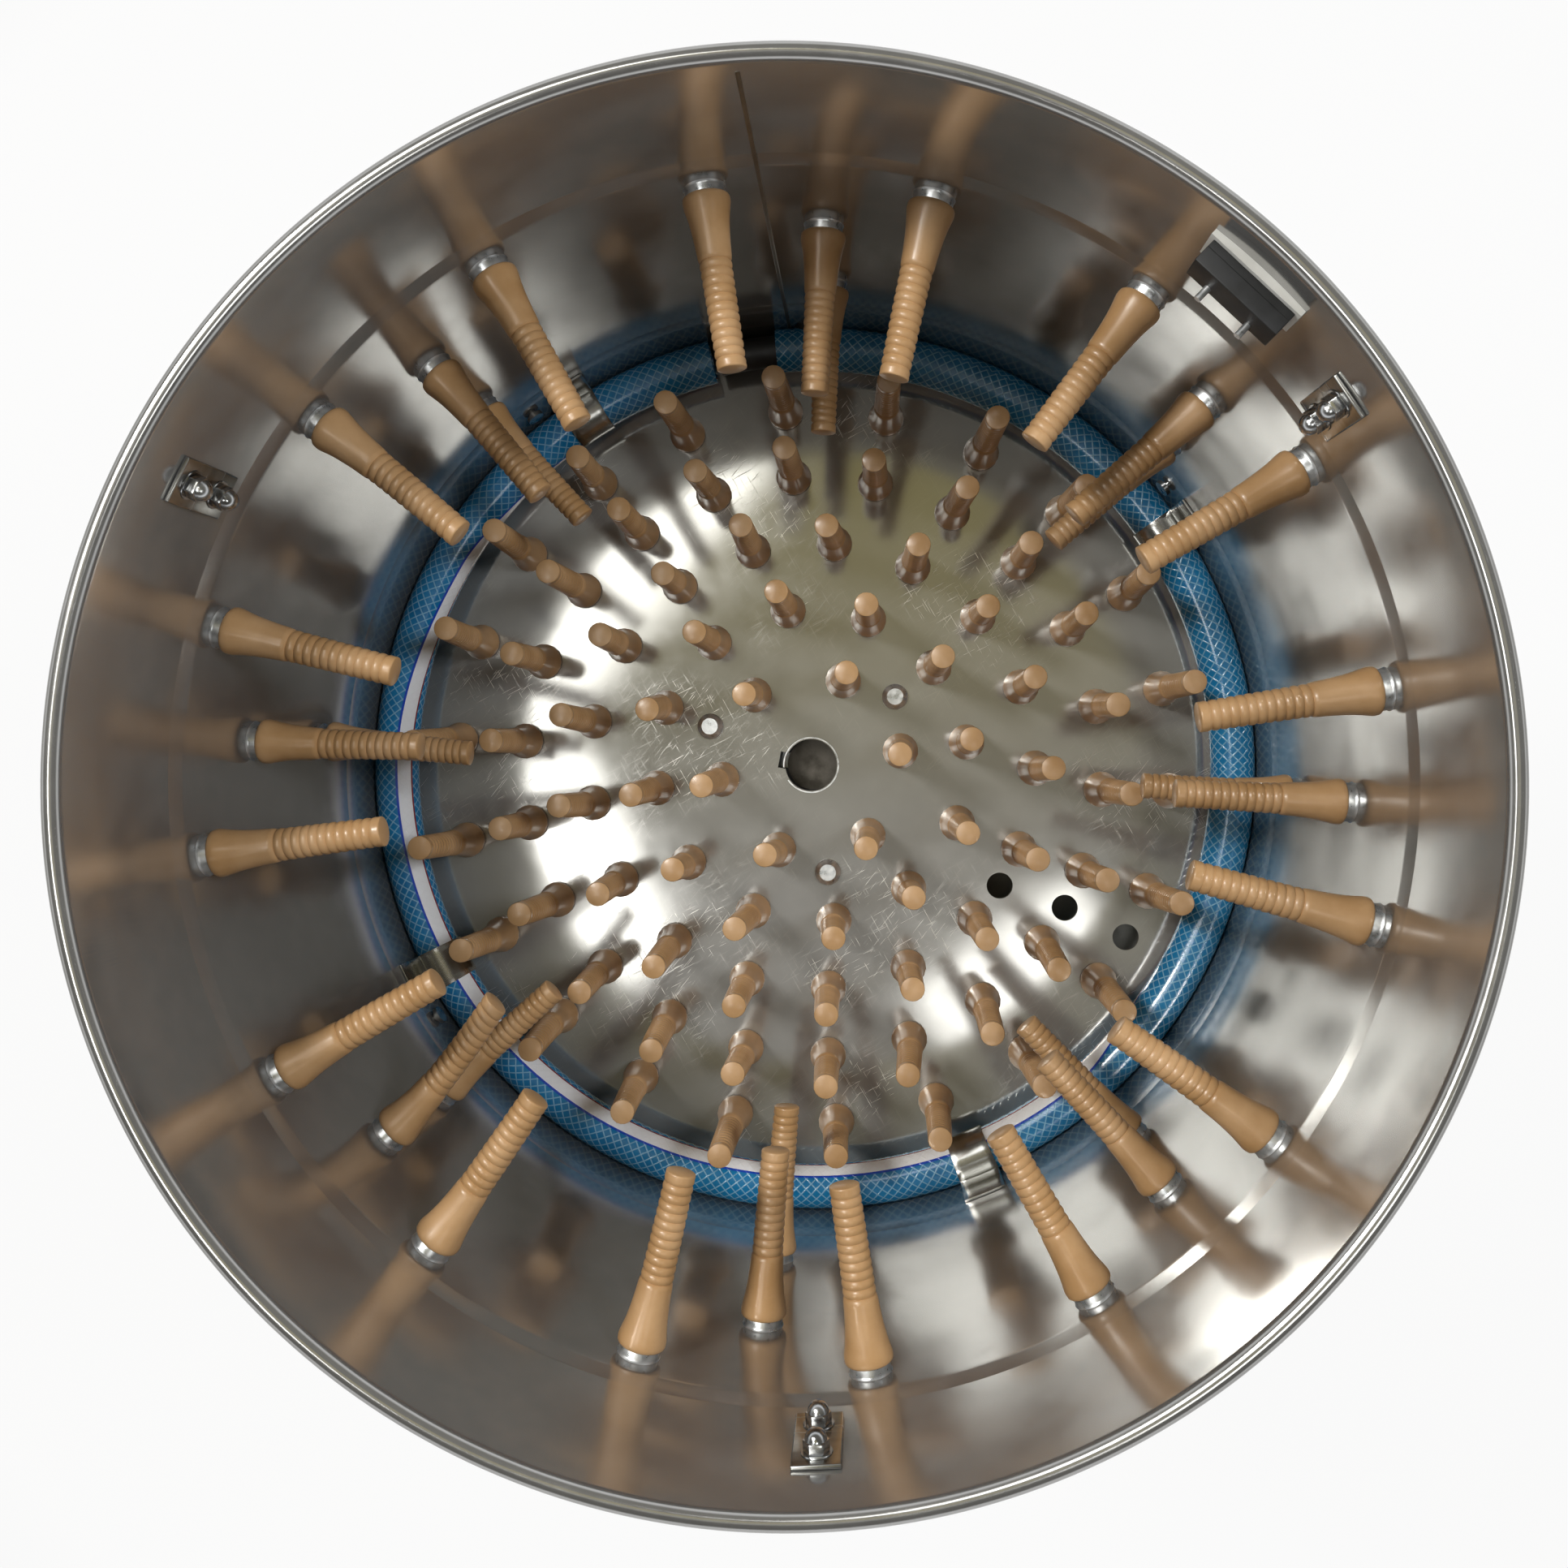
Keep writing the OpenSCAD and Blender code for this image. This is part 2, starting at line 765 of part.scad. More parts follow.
module foot_posts() color(zinc) pair_x()
    translate([stand_x, -stand_y, pad_floor]) cylinder(d = post_d, h = stand_h - pad_floor);

module foot_pads() color(black) pair_x() translate([stand_x, -stand_y, 0]) difference() {
    cylinder(d = post_d + 2 * pad_wall, h = pad_h);
    translate([0, 0, pad_floor]) cylinder(r = post_d / 2 + fit, h = pad_h);
}

module caster_brackets() color(zinc) pair_x() translate([stand_x, stand_y, 0]) difference() {
    in = wheel_w / 2 + body_gap;
    union() {
        block([-in - cheek_t, -fork_w / 2, stand_h - fork_t], [in + cheek_t, fork_w / 2, stand_h]);
        for (x = [-in - cheek_t, in]) {
            block([x, -fork_w / 2, wheel_d / 2], [x + cheek_t, fork_w / 2, stand_h]);
            translate([x, 0, wheel_d / 2]) rotate([0, 90, 0]) cylinder(d = fork_w, h = cheek_t);
        }
    }
    translate([0, 0, wheel_d / 2]) rod_x(axle_d / 2 + fit, -in - cheek_t - over, in + cheek_t + over);
}

module caster_axles() color(zinc) pair_x() translate([stand_x, stand_y, wheel_d / 2]) {
    end = wheel_w / 2 + body_gap + cheek_t;
    rod_x(axle_d / 2, -end - 2, end + 2);
    rod_x(axle_d * 0.8, -end - 5, -end - seat);
    rod_x(axle_d * 0.8, end + seat, end + 5);
}

// Wheel on the X axis
module wheel() {
    rotate([0, 90, 0]) translate([0, 0, -wheel_w / 2]) rotate_extrude() {
        bore_r = axle_d / 2 + fit;
        tyre_t = 9;
        translate([bore_r, 0]) square([axle_d * 0.6, wheel_w]);
        translate([bore_r, wheel_w * 0.35]) square([wheel_d / 2 - bore_r - 1, wheel_w * 0.3]);
        translate([wheel_d / 2 - tyre_t, wheel_w * 0.1]) square([tyre_t, wheel_w * 0.8]);
    }
}

module wheel_left() color("#3a3b3d") translate([-stand_x, stand_y, wheel_d / 2]) wheel();
module wheel_right() color("#3a3b3d") translate([stand_x, stand_y, wheel_d / 2]) wheel();

// Handles

module handle_lugs() color(zinc) pair_x() difference() {
    for (side = [-1, 1]) {
        y0 = side * (handle_w / 2 + handle_d / 2 + body_gap + lug_plate_t / 2) - lug_plate_t / 2;
        translate([pin_x, y0, handle_z]) rod_y(handle_d / 2 + lug_edge, 0, lug_plate_t);
        block([shell_r - lug_back, y0, handle_z - handle_d / 2 - lug_edge],
              [pin_x, y0 + lug_plate_t, handle_z + handle_d / 2 + lug_edge]);
    }
    translate([0, 0, handle_z - 2 * handle_d]) cylinder(r = shell_ro + seat, h = 4 * handle_d);
    translate([pin_x, 0, handle_z]) rod_y(handle_d / 2 + fit, -handle_w, handle_w);
}

// Drop handle that hangs from pins on its Y axis
module handle() {
    rod_r = handle_d / 2;
    pin_end = handle_w / 2 + rod_r + body_gap + lug_plate_t + 3;
    for (side = [-1, 1]) scale([1, side, 1]) {
        rod_y(rod_r, handle_w / 2, pin_end);
        translate([0, handle_w / 2, 0]) sphere(r = rod_r);
        translate([0, handle_w / 2, handle_bend - handle_drop])
            cylinder(r = rod_r, h = handle_drop - handle_bend);
        translate([0, handle_w / 2 - handle_bend, handle_bend - handle_drop])
            rotate([0, 90, 0]) rotate_extrude(angle = 90) translate([handle_bend, 0]) circle(r = rod_r);
    }
    translate([0, 0, -handle_drop])
        rod_y(rod_r, handle_bend - handle_w / 2, handle_w / 2 - handle_bend);
}

module handle_left() color(zinc) translate([-pin_x, 0, handle_z]) handle();
module handle_right() color(zinc) translate([pin_x, 0, handle_z]) handle();

// Feather pan and chute

module feather_pan() color(stainless) difference() {
    edge = shell_r - seat;
    lip = 25;
    translate([0, 0, pan_z - sheet]) {
        tube(edge, upstand_r, sheet);
        tube(edge, edge - sheet, lip);
        tube(upstand_r + sheet, upstand_r, upstand_z1 - pan_z + sheet);
    }
    block([-outlet_w / 2, -shell_ro, pan_z], [outlet_w / 2, -shell_r / 2, pan_z + lip]);
}

// Plate of the chute: an outline drawn along the chute's reach, u, and height, v
module chute_sheet(x0, x1, points) {
    translate([x0, 0, pan_z]) rotate([90, 0, 90]) linear_extrude(x1 - x0)
        polygon([for (p = points) [-p[0], p[1]]]);
}

module feather_chute() color(stainless) difference() {
    half = outlet_w / 2;
    u0 = sqrt(shell_ro * shell_ro - half * half) - 20;
    u1 = shell_ro + reach;
    roof_u = u1 - 40;
    lip_v = outlet_h * 0.55;
    floor_v = -chute_fall;
    union() {
        for (x = [-half - sheet, half]) {
            chute_sheet(x, x + sheet, [
                [u0, -sheet], [u1, floor_v - sheet], [u1, lip_v],
                [roof_u, outlet_h + sheet], [u0, outlet_h + sheet]
            ]);
        }
        chute_sheet(-half - sheet, half + sheet,
                    [[u0, -sheet], [u1, floor_v - sheet], [u1, floor_v], [u0, 0]]);
        chute_sheet(-half - sheet, half + sheet,
                    [[u0, outlet_h], [roof_u, outlet_h],
                     [roof_u, outlet_h + sheet], [u0, outlet_h + sheet]]);
    }
    translate([0, 0, stand_h]) cylinder(r = shell_ro + seat, h = shell_h);
}

// Drive frame

// A copy at each bolt that holds the drive plate under the beams
module at_beam_bolts() {
    for (x = [-beam_x, beam_x]) for (y = drive_bolt_ys) {
        translate([x, y, 0]) children();
    }
}

// A copy at each bolt of the bearing housing's flange
module at_housing_bolts() {
    for (a = [45 : 90 : 315]) rotate(a) translate([housing_bolt_r, 0, 0]) children();
}

// A copy at each bolt of the motor's flange
module at_motor_bolts() {
    translate([0, motor_y, 0]) for (a = [45 : 90 : 315]) {
        rotate(a) translate([motor_bolt_r, 0, 0]) children();
    }
}

module cross_beams() color(zinc) difference() {
    intersection() {
        pair_x() translate([beam_x - beam_w / 2, -shell_r, beam_z0]) difference() {
            cube([beam_w, 2 * shell_r, beam_h]);
            translate([beam_t, -over, beam_t])
                cube([beam_w - 2 * beam_t, 2 * shell_r + 2 * over, beam_h - 2 * beam_t]);
        }
        translate([0, 0, beam_z0]) cylinder(r = shell_r - seat, h = beam_h);
    }
    at_beam_bolts() translate([0, 0, beam_z0 - over])
        cylinder(r = drive_bolt_d / 2 + hole_gap, h = beam_t + 2 * over);
}

module drive_plate() color(zinc) difference() {
    intersection() {
        half = beam_x + beam_w / 2;
        block([-half, drive_y0, drive_z0], [half, drive_y1, beam_z0]);
        translate([0, 0, drive_z0]) cylinder(r = shell_r - 6, h = drive_t);
    }
    translate([0, 0, drive_z0 - over]) {
        through = drive_t + 2 * over;
        cylinder(r = shoulder_r + 4, h = through);
        translate([0, motor_y, 0]) cylinder(r = motor_shaft_r + 8, h = through);
        at_beam_bolts() cylinder(r = drive_bolt_d / 2 + hole_gap, h = through);
        at_housing_bolts() cylinder(r = drive_bolt_d / 2 + hole_gap, h = through);
        at_motor_bolts() cylinder(r = drive_bolt_d / 2 + hole_gap, h = through);
    }
}

// Bolt through what lies from z0 to z1, with a hexagon at each end
module clamp_bolt(z0, z1) {
    translate([0, 0, z0 - bolt_head_h]) cylinder(d = drive_bolt_d, h = z1 - z0 + 2 * bolt_head_h);
    translate([0, 0, z0 - bolt_head_h]) cylinder(r = bolt_head_r, h = bolt_head_h, $fn = 6);
    translate([0, 0, z1]) cylinder(r = bolt_head_r, h = bolt_head_h, $fn = 6);
}

module drive_bolts() color(zinc) {
    at_beam_bolts() clamp_bolt(drive_z0, beam_z0 + beam_t);
    at_housing_bolts() clamp_bolt(drive_z0 - housing_flange_t, beam_z0);
    at_motor_bolts() {
        translate([0, 0, motor_z1 + 1]) cylinder(d = drive_bolt_d, h = beam_z0 - motor_z1);
        translate([0, 0, beam_z0]) cylinder(r = bolt_head_r, h = bolt_head_h, $fn = 6);
    }
}

// Bearings

module bearing_housing() color(iron_grey) difference() {
    translate([0, 0, housing_z0]) {
        tube(housing_r, bearing_r - housing_lip, housing_l);
        translate([0, 0, housing_l - housing_flange_t])
            tube(housing_flange_r, housing_r - 1, housing_flange_t);
    }
    for (z = [bearing_zs[0] - over, bearing_zs[1]]) {
        translate([0, 0, z]) cylinder(r = bearing_r + fit, h = bearing_w + over);
    }
    at_housing_bolts() translate([0, 0, drive_z0 - housing_flange_t - over])
        cylinder(r = drive_bolt_d / 2 + hole_gap, h = housing_flange_t + 2 * over);
}

// Race of both bearings, with its groove for the balls
module races(ri, ro) {
    for (z = bearing_zs) translate([0, 0, z]) rotate_extrude() difference() {
        translate([ri, 0]) square([ro - ri, bearing_w]);
        translate([ball_rc, bearing_w / 2]) circle(r = ball_d / 2 + fit);
    }
}

module bearing_outer_races() color(stainless) races(ball_rc + race_gap, bearing_r);
module bearing_inner_races() color(stainless) races(shaft_r + fit / 2, ball_rc - race_gap);

module bearing_balls() color("#d0d2d4") for (z = bearing_zs) {
    round_at([for (k = [0 : ball_count - 1]) k * 360 / ball_count], z + bearing_w / 2)
        translate([ball_rc, 0, 0]) sphere(d = ball_d);
}

// Turning column

module main_shaft() color(zinc) difference() {
    union() {
        translate([0, 0, shaft_z0]) cylinder(r = shaft_r, h = shaft_z1 - shaft_z0);
        translate([0, 0, drive_z0 + fit]) cylinder(r = shoulder_r, h = pulley_z0 - drive_z0 - fit);
    }
    key_places(fit);
}

// Both keys, or the slots that they sit in when grown by a clearance
module key_places(grow) {
    for (span = [[pulley_z0, pulley_z0 + pulley_h], [hub_z0 + 4, shaft_z1 - 4]]) {
        rotate(key_turn)
            block([shaft_r - key_h / 2 - grow, -key_w / 2 - grow, span[0] - grow],
                  [shaft_r + key_h / 2, key_w / 2 + grow, span[1] + grow]);
    }
}

module shaft_keys() color(zinc) key_places(0);

module plate_hub() color(iron_grey) difference() {
    union() {
        translate([0, 0, hub_z0]) cylinder(r = hub_r, h = hub_l + hub_flange_t);
        round_at(plate_bolt_angles)
            block([0, -hub_arm_w / 2, plate_z0 - hub_flange_t],
                  [bolt_circle + hub_arm_w / 2, hub_arm_w / 2, plate_z0]);
    }
    translate([0, 0, hub_z0 - over]) keyed_bore(hub_l + hub_flange_t + 2 * over);
    round_at(plate_bolt_angles, plate_z0 - hub_flange_t - over) translate([bolt_circle, 0, 0])
        cylinder(r = plate_bolt_d / 2 + hole_gap, h = hub_flange_t + 2 * over);
}

module feather_plate() color(stainless) difference() {
    through = plate_t + 2 * over;
    translate([0, 0, plate_z0]) cylinder(r = plate_r, h = plate_t);
    translate([0, 0, plate_z0 - over]) keyed_bore(through);
    at_plate_fingers() translate([0, 0, -plate_t - over]) cylinder(r = hole_r, h = through);
    for (k = spare_rings) {
        rotate(ring_turns[k] - spare_back * 360 / ring_counts[k])
            translate([ring_first + k * ring_step, 0, plate_z0 - over]) cylinder(r = hole_r, h = through);
    }
    round_at(plate_bolt_angles, plate_z0 - over)
        translate([bolt_circle, 0, 0]) cylinder(r = plate_bolt_d / 2 + hole_gap, h = through);
}

module plate_bolts() color(zinc) round_at(plate_bolt_angles) translate([bolt_circle, 0, 0]) {
    nut_z1 = plate_z0 - hub_flange_t;
    translate([0, 0, nut_z1 - plate_bolt_d])
        cylinder(d = plate_bolt_d, h = plate_z1 - nut_z1 + plate_bolt_d);
    translate([0, 0, plate_z1]) cylinder(d = plate_bolt_d * 1.6, h = plate_bolt_d * 0.25);
    translate([0, 0, plate_z1 + plate_bolt_d * 0.25])
        cylinder(d1 = plate_bolt_d * 1.6, d2 = plate_bolt_d, h = plate_bolt_d * 0.3);
    translate([0, 0, nut_z1 - plate_bolt_d * 0.8])
        cylinder(r = plate_bolt_d * 0.9, h = plate_bolt_d * 0.8, $fn = 6);
}

module plate_fingers() color(rubber_tan)
    at_plate_fingers() finger(fit, plate_t + fit);

module sweeper() color(stainless) translate([0, 0, hub_z0]) {
    ring_r = hub_r + sweep_ring_t;
    tube(ring_r, hub_r + fit, sweep_ring_h);
    round_at([for (k = [0 : paddle_count - 1]) k * 360 / paddle_count])
        block([ring_r - 2, -paddle_t / 2, pan_z + sweep_gap - hub_z0],
              [sweep_r, paddle_t / 2, sweep_ring_h]);
}

// Grooved pulley that stands on z = 0, with the belt's pitch line at radius r
module pulley(r) {
    top_r = r + belt_t / 2 + lip_h;
    floor_r = r - belt_t / 2 - belt_gap;
    cylinder(r = floor_r, h = pulley_h);
    cylinder(r = top_r, h = lip_t);
    translate([0, 0, pulley_h - lip_t]) cylinder(r = top_r, h = lip_t);
}

module drive_pulley() color(iron_grey) translate([0, 0, pulley_z0]) difference() {
    rim_in = pulley_r - belt_t - 6;
    pulley(pulley_r);
    for (z = [-over, pulley_h / 2 + 3]) {
        translate([0, 0, z]) tube(rim_in, pulley_hub_r, pulley_h / 2 - 3 + over);
    }
    translate([0, 0, -over]) keyed_bore(pulley_h + 2 * over);
}

// Motor

module at_motor(z) {
    translate([0, motor_y, z]) children();
}

module motor_frame() color(motor_blue) at_motor(motor_z0) difference() {
    union() {
        cylinder(r = motor_r, h = motor_l);
        translate([0, 0, motor_wall]) linear_extrude(motor_l - 4 * motor_wall)
            for (k = [0 : fin_count - 1]) rotate((k + 0.5) * 360 / fin_count)
                translate([motor_r - 2, -1]) square([fin_h + 2, 2]);
    }
    translate([0, 0, motor_wall]) cylinder(r = motor_r - motor_wall, h = motor_l);
    translate([0, 0, -over]) cylinder(r = motor_shaft_r + fit, h = motor_l);
}

module motor_end_shield() color(motor_blue) difference() {
    at_motor(motor_z1) {
        cylinder(r = shield_r, h = shield_t);
        translate([0, 0, -4]) cylinder(r = motor_r - motor_wall - seat, h = 4 + over);
    }
    at_motor(motor_z1 - 4 - over) cylinder(r = motor_shaft_r + fit, h = shield_t + 4 + 2 * over);
    translate([0, 0, motor_z1 - over]) at_motor_bolts()
        cylinder(r = drive_bolt_d / 2 + hole_gap, h = shield_t + 2 * over);
}

module motor_stator() color("#8a5a3a") at_motor(stack_z0) tube(stator_r, rotor_r + 0.5, stack_l);

module motor_rotor() color(zinc) {
    end_z = pulley_z0 + pulley_h + 2;
    at_motor(stack_z0) cylinder(r = rotor_r, h = stack_l);
    at_motor(motor_z0 - fan_h - 6) cylinder(r = motor_shaft_r, h = end_z - motor_z0 + fan_h + 6);
}

module motor_fan() color(black) at_motor(motor_z0 - fan_h - 4) linear_extrude(fan_h) difference() {
    union() {
        circle(r = motor_shaft_r + 8);
        for (k = [0 : fan_blades - 1]) rotate(k * 360 / fan_blades)
            translate([motor_shaft_r, -1]) square([motor_r - 12 - motor_shaft_r, 2]);
    }
    circle(r = motor_shaft_r + fit / 2);
}

module motor_fan_cover() color(iron_grey) at_motor(motor_z0 - fan_cover_h) difference() {
    cylinder(r = motor_r + 3, h = fan_cover_h + motor_wall - 1);
    translate([0, 0, sheet]) cylinder(r = motor_r + 3 - sheet, h = fan_cover_h - sheet);
    translate([0, 0, fan_cover_h - over]) cylinder(r = motor_r + seat, h = motor_wall + over);
    for (k = [0 : 7]) rotate(k * 45)
        block([motor_shaft_r + 8, -3, -over], [motor_r - 8, 3, sheet + over]);
}

module terminal_box() color(motor_blue) difference() {
    at_motor(0) block([motor_r - 10, -28, motor_z0 + 40], [motor_r + 38, 28, motor_z0 + 100]);
    at_motor(motor_z0) cylinder(r = motor_r + fin_h + seat, h = motor_l);
}

module motor_pulley() color(iron_grey) at_motor(pulley_z0) difference() {
    pulley(motor_pulley_r);
    translate([0, 0, -over]) cylinder(r = motor_shaft_r + fit / 2, h = pulley_h + 2 * over);
}

// Area inside the belt's path, drawn at a distance from its pitch line
module belt_loop(off) {
    big = pulley_r + off;
    small = motor_pulley_r + off;
    right = [cos(belt_lean), sin(belt_lean)];
    left = [-cos(belt_lean), sin(belt_lean)];
    far = [0, motor_y];
    circle(r = big);
    translate(far) circle(r = small);
    polygon([big * right, far + small * right, far + small * left, big * left]);
}

module drive_belt() color(black)
    translate([0, 0, pulley_z0 + lip_t + belt_gap]) linear_extrude(belt_w) difference() {
        belt_loop(belt_t / 2);
        belt_loop(-belt_t / 2);
    }

// Controls

// A copy at each corner screw of the control box, at the cover's inner face
module at_cover_screws() {
    for (x = [boss_in - box_w / 2, box_w / 2 - boss_in]) {
        for (z = [box_z0 + boss_in, box_z0 + box_h - boss_in]) {
            translate([x, box_y1, z]) children();
        }
    }
}

module control_box() color("#c9c9c4") difference() {
    half = box_w / 2;
    union() {
        difference() {
            block([-half, shell_r - box_back, box_z0], [half, box_y1, box_z0 + box_h]);
            block([box_t - half, shell_ro + box_t, box_z0 + box_t],
                  [half - box_t, box_y1 + over, box_z0 + box_h - box_t]);
        }
        at_cover_screws() rod_y(boss_r, shell_ro + box_t - box_y1 - over, 0);
    }
    translate([0, 0, stand_h]) cylinder(r = shell_ro + seat, h = shell_h);
    at_cover_screws() rod_y(cover_screw_d / 2 + fit, -screw_hole_l, over);
    translate([0, gland_y, box_z0 - over]) cylinder(r = gland_r + hole_gap, h = box_t + 2 * over);
}

module control_cover() color("#c9c9c4") difference() {
    block([-box_w / 2, box_y1, box_z0], [box_w / 2, cover_y1, box_z0 + box_h]);
    for (z = [start_z, stop_z]) {
        translate([0, 0, z]) rod_y(stem_r + stem_gap, box_y1 - over, cover_y1 + over);
    }
    at_cover_screws() rod_y(cover_screw_d / 2 + hole_gap, -over, cover_t + over);
}

module cover_screws() color(zinc) at_cover_screws() {
    rod_y(cover_screw_d / 2, -cover_screw_l, cover_t + over);
    rod_y(cover_screw_d, cover_t, cover_t + 2);
}

module contact_blocks() color(black) for (z = [start_z, stop_z]) difference() {
    half = block_w / 2;
    block([-half, box_y1 - block_l, z - half], [half, box_y1, z + half]);
    translate([0, 0, z]) rod_y(stem_r + stem_gap, box_y1 - stem_l - button_travel - 2, box_y1 + over);
}

module start_button() color("#2f8f4a") translate([0, 0, start_z]) {
    cap_y = cover_y1 + button_travel + body_gap;
    rod_y(stem_r, box_y1 - stem_l, cap_y + over);
    rod_y(start_r, cap_y, cap_y + cap_t);
}

module stop_button() color("#b3261e") translate([0, 0, stop_z]) {
    cap_y1 = cover_y1 + button_proud;
    rod_y(stem_r, box_y1 - stem_l, cap_y1 - 2);
    translate([0, cap_y1, 0]) rotate([90, 0, 0])
        rotate_extrude()
            polygon([[0, 0], [stop_r - 5, 0], [stop_r, 5], [stop_r, 9], [stem_r, 13], [0, 13]]);
}

module cable_gland() color(black) translate([0, gland_y, box_z0]) difference() {
    union() {
        translate([0, 0, -seat]) cylinder(r = gland_r, h = box_t + gland_up);
        translate([0, 0, -12]) cylinder(r = gland_hex_r, h = 12, $fn = 6);
        translate([0, 0, -gland_down]) cylinder(r = gland_r, h = gland_down);
        translate([0, 0, box_t]) cylinder(r = gland_hex_r, h = 6, $fn = 6);
    }
    translate([0, 0, -gland_down - over])
        cylinder(r = gland_d / 2, h = gland_down + box_t + gland_up + 2 * over);
}

drum();
base_shell();
seat_ring();
shell_bolts();
base_ring();
foot_posts();
foot_pads();
caster_brackets();
caster_axles();
wheel_left();
wheel_right();
handle_lugs();
handle_left();
handle_right();
feather_pan();
feather_chute();
cross_beams();
drive_plate();
drive_bolts();
bearing_housing();
bearing_outer_races();
bearing_balls();
bearing_inner_races();
main_shaft();
shaft_keys();
plate_hub();
feather_plate();
plate_bolts();
plate_fingers();
sweeper();
drive_pulley();
motor_frame();
motor_end_shield();
motor_stator();
motor_rotor();
motor_fan();
motor_fan_cover();
terminal_box();
motor_pulley();
drive_belt();
control_box();
control_cover();
cover_screws();
contact_blocks();
start_button();
stop_button();
cable_gland();
hose_ring();
hose_clips();
clip_screws();
hose_tee();
bracket_plates();
cap_nuts();
lid_lugs();
lug_bolts();
lid_switch();
lid_switch_pad();
lid_switch_screws();
wall_fingers();
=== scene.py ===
"""Drum poultry plucker: a steel drum with rubber fingers, a turning plate and a spray hose."""
import json
import math
import random

import bpy
from mathutils import Matrix, Vector


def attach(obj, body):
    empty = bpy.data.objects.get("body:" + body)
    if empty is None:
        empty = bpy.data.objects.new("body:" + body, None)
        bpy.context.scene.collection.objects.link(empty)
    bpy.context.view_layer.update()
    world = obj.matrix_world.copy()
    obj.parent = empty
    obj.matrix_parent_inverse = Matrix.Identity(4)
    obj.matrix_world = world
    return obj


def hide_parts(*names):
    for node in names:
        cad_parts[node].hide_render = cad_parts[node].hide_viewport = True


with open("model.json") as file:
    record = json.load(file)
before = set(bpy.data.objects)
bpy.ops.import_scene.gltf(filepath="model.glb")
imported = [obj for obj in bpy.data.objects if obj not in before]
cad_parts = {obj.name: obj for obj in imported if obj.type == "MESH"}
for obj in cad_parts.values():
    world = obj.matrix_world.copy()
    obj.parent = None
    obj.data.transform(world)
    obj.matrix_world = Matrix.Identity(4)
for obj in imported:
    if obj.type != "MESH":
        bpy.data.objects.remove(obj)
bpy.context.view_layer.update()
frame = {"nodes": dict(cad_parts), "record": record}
nodes = frame["nodes"]
slot_of = {s["node"]: s["material_slot"] for s in frame["record"]["subparts"]}

MM = 0.001
random.seed(7)

# Sizes of the solids, in millimetres and degrees

# Drum: inner radius, sheet, ends, rolled rim, beads and weld seam
DRUM_R = 267.0
SHEET = 1.5
DRUM_Z0 = 470.0
RIM_Z = 860.0
RIM_R = 4.0
BEAD_ZS = (574.5, 774.0)
BEAD_W = 11.0
BEAD_H = 1.2
SEAM_DEG = 92.6

# Skirt: outer radius, ends, the chute's opening and the two rows of bolts
SKIRT_R = 270.5
SKIRT_Z0 = 90.0
SKIRT_Z1 = 500.0
OUTLET_Z0 = 340.0
OUTLET_Z1 = 438.0
OUTLET_HALF_DEG = 29
SKIRT_BOLT_DEGS = (30, 90, 150, 210, 270, 330)
DRUM_BOLT_Z = 485.0
BASE_BOLT_Z = 112.0

# Plate: its top, its sheet, its bolts and the bore of its hub
PLATE_Z = 515.0
PLATE_SHEET = 4.0
PLATE_BOLT_R = 67.0
PLATE_BOLT_DEG = 39
BORE_R = 16.1

# Fingers: length that shows, flange and radius of the holes, and room to sit in them
FINGER_L = 83.0
FLANGE_L = 4.5
HOLE_R = 8.0
SEAT = 0.05
# Groups of fingers round the wall, and the turn of the first one
WALL_GROUPS = 8
WALL_TURN = -3.2
# Turn and height of each finger of a wall group
WALL_ROWS = ((-11.2, 750.0), (11.2, 750.0), (0.0, 698.0), (0.0, 615.0))
# About the most that a tip is bent aside, on the wall and on the plate
WALL_BEND = 4.0
PLATE_BEND = 4.5
# Wall fingers that have been pushed aside, by number, with how far they lean up and sideways
PUSHED = {22: (0, -15)}
# Radius, number of fingers and turn of the first one, for each ring on the plate
PLATE_RINGS = ((56.0, 6, 9.0), (97.0, 12, 8.4), (138.0, 17, -0.8), (179.0, 22, -4.8), (220.0, 22, -4.1))

# Hose: its radius, the radius and height of its ring, where it starts and how far round it goes
HOSE_R = 13.0
HOSE_RC = 253.7
HOSE_Z = 533.0
HOSE_START = 94.5
HOSE_SWEEP = 351

# Straps over the hose: where they are, their top, their sheet and half their width
STRAP_DEGS = (38, 128, 214, 298)
STRAP_Z1 = 568.0
STRAP_SHEET = 1.1
STRAP_HALF_DEG = 2.68

# Brackets on the wall: where they are, their middle, inner face and sheet, their nuts, and the lugs outside
BRACKET_DEGS = (33.5, 153.5, 273.5)
BRACKET_Z = 809.0
BRACKET_FACE = 264.76
BRACKET_SHEET = 2.0
NUT_OFFSETS = (-11, 11)
LUG_R = 271.7

# Lid switch on the wall: where it is, its middle and the radius of its back
SWITCH_DEG = 46
SWITCH_Z = 833.0
SWITCH_R = 263.5

# Control box: half its width, its back, front and cover, its ends, screws, buttons and gland
BOX_HALF = 55.0
BOX_Y0 = 245.0
BOX_Y1 = 339.5
COVER_Y1 = 342.5
BOX_Z0 = 340.0
BOX_Z1 = 470.0
SCREW_INSET = 7.0
START_Z = 433.0
STOP_Z = 377.0
GLAND_Y = 310.5

# Wheels, behind, and feet, in front: how far out they are, and the height of the axles
WHEEL_X = 153.5
WHEEL_Y = 182.9
WHEEL_Z = 37.5


# Camera, light and floor

def put(tree, kind, inputs=(), **settings):
    """Adds a node with its settings, and fills its inputs with values or links."""
    node = tree.nodes.new("ShaderNode" + kind)
    for name, value in settings.items():
        setattr(node, name, value)
    for name, value in dict(inputs).items():
        if isinstance(value, bpy.types.NodeSocket):
            tree.links.new(value, node.inputs[name])
        else:
            node.inputs[name].default_value = value
    return node


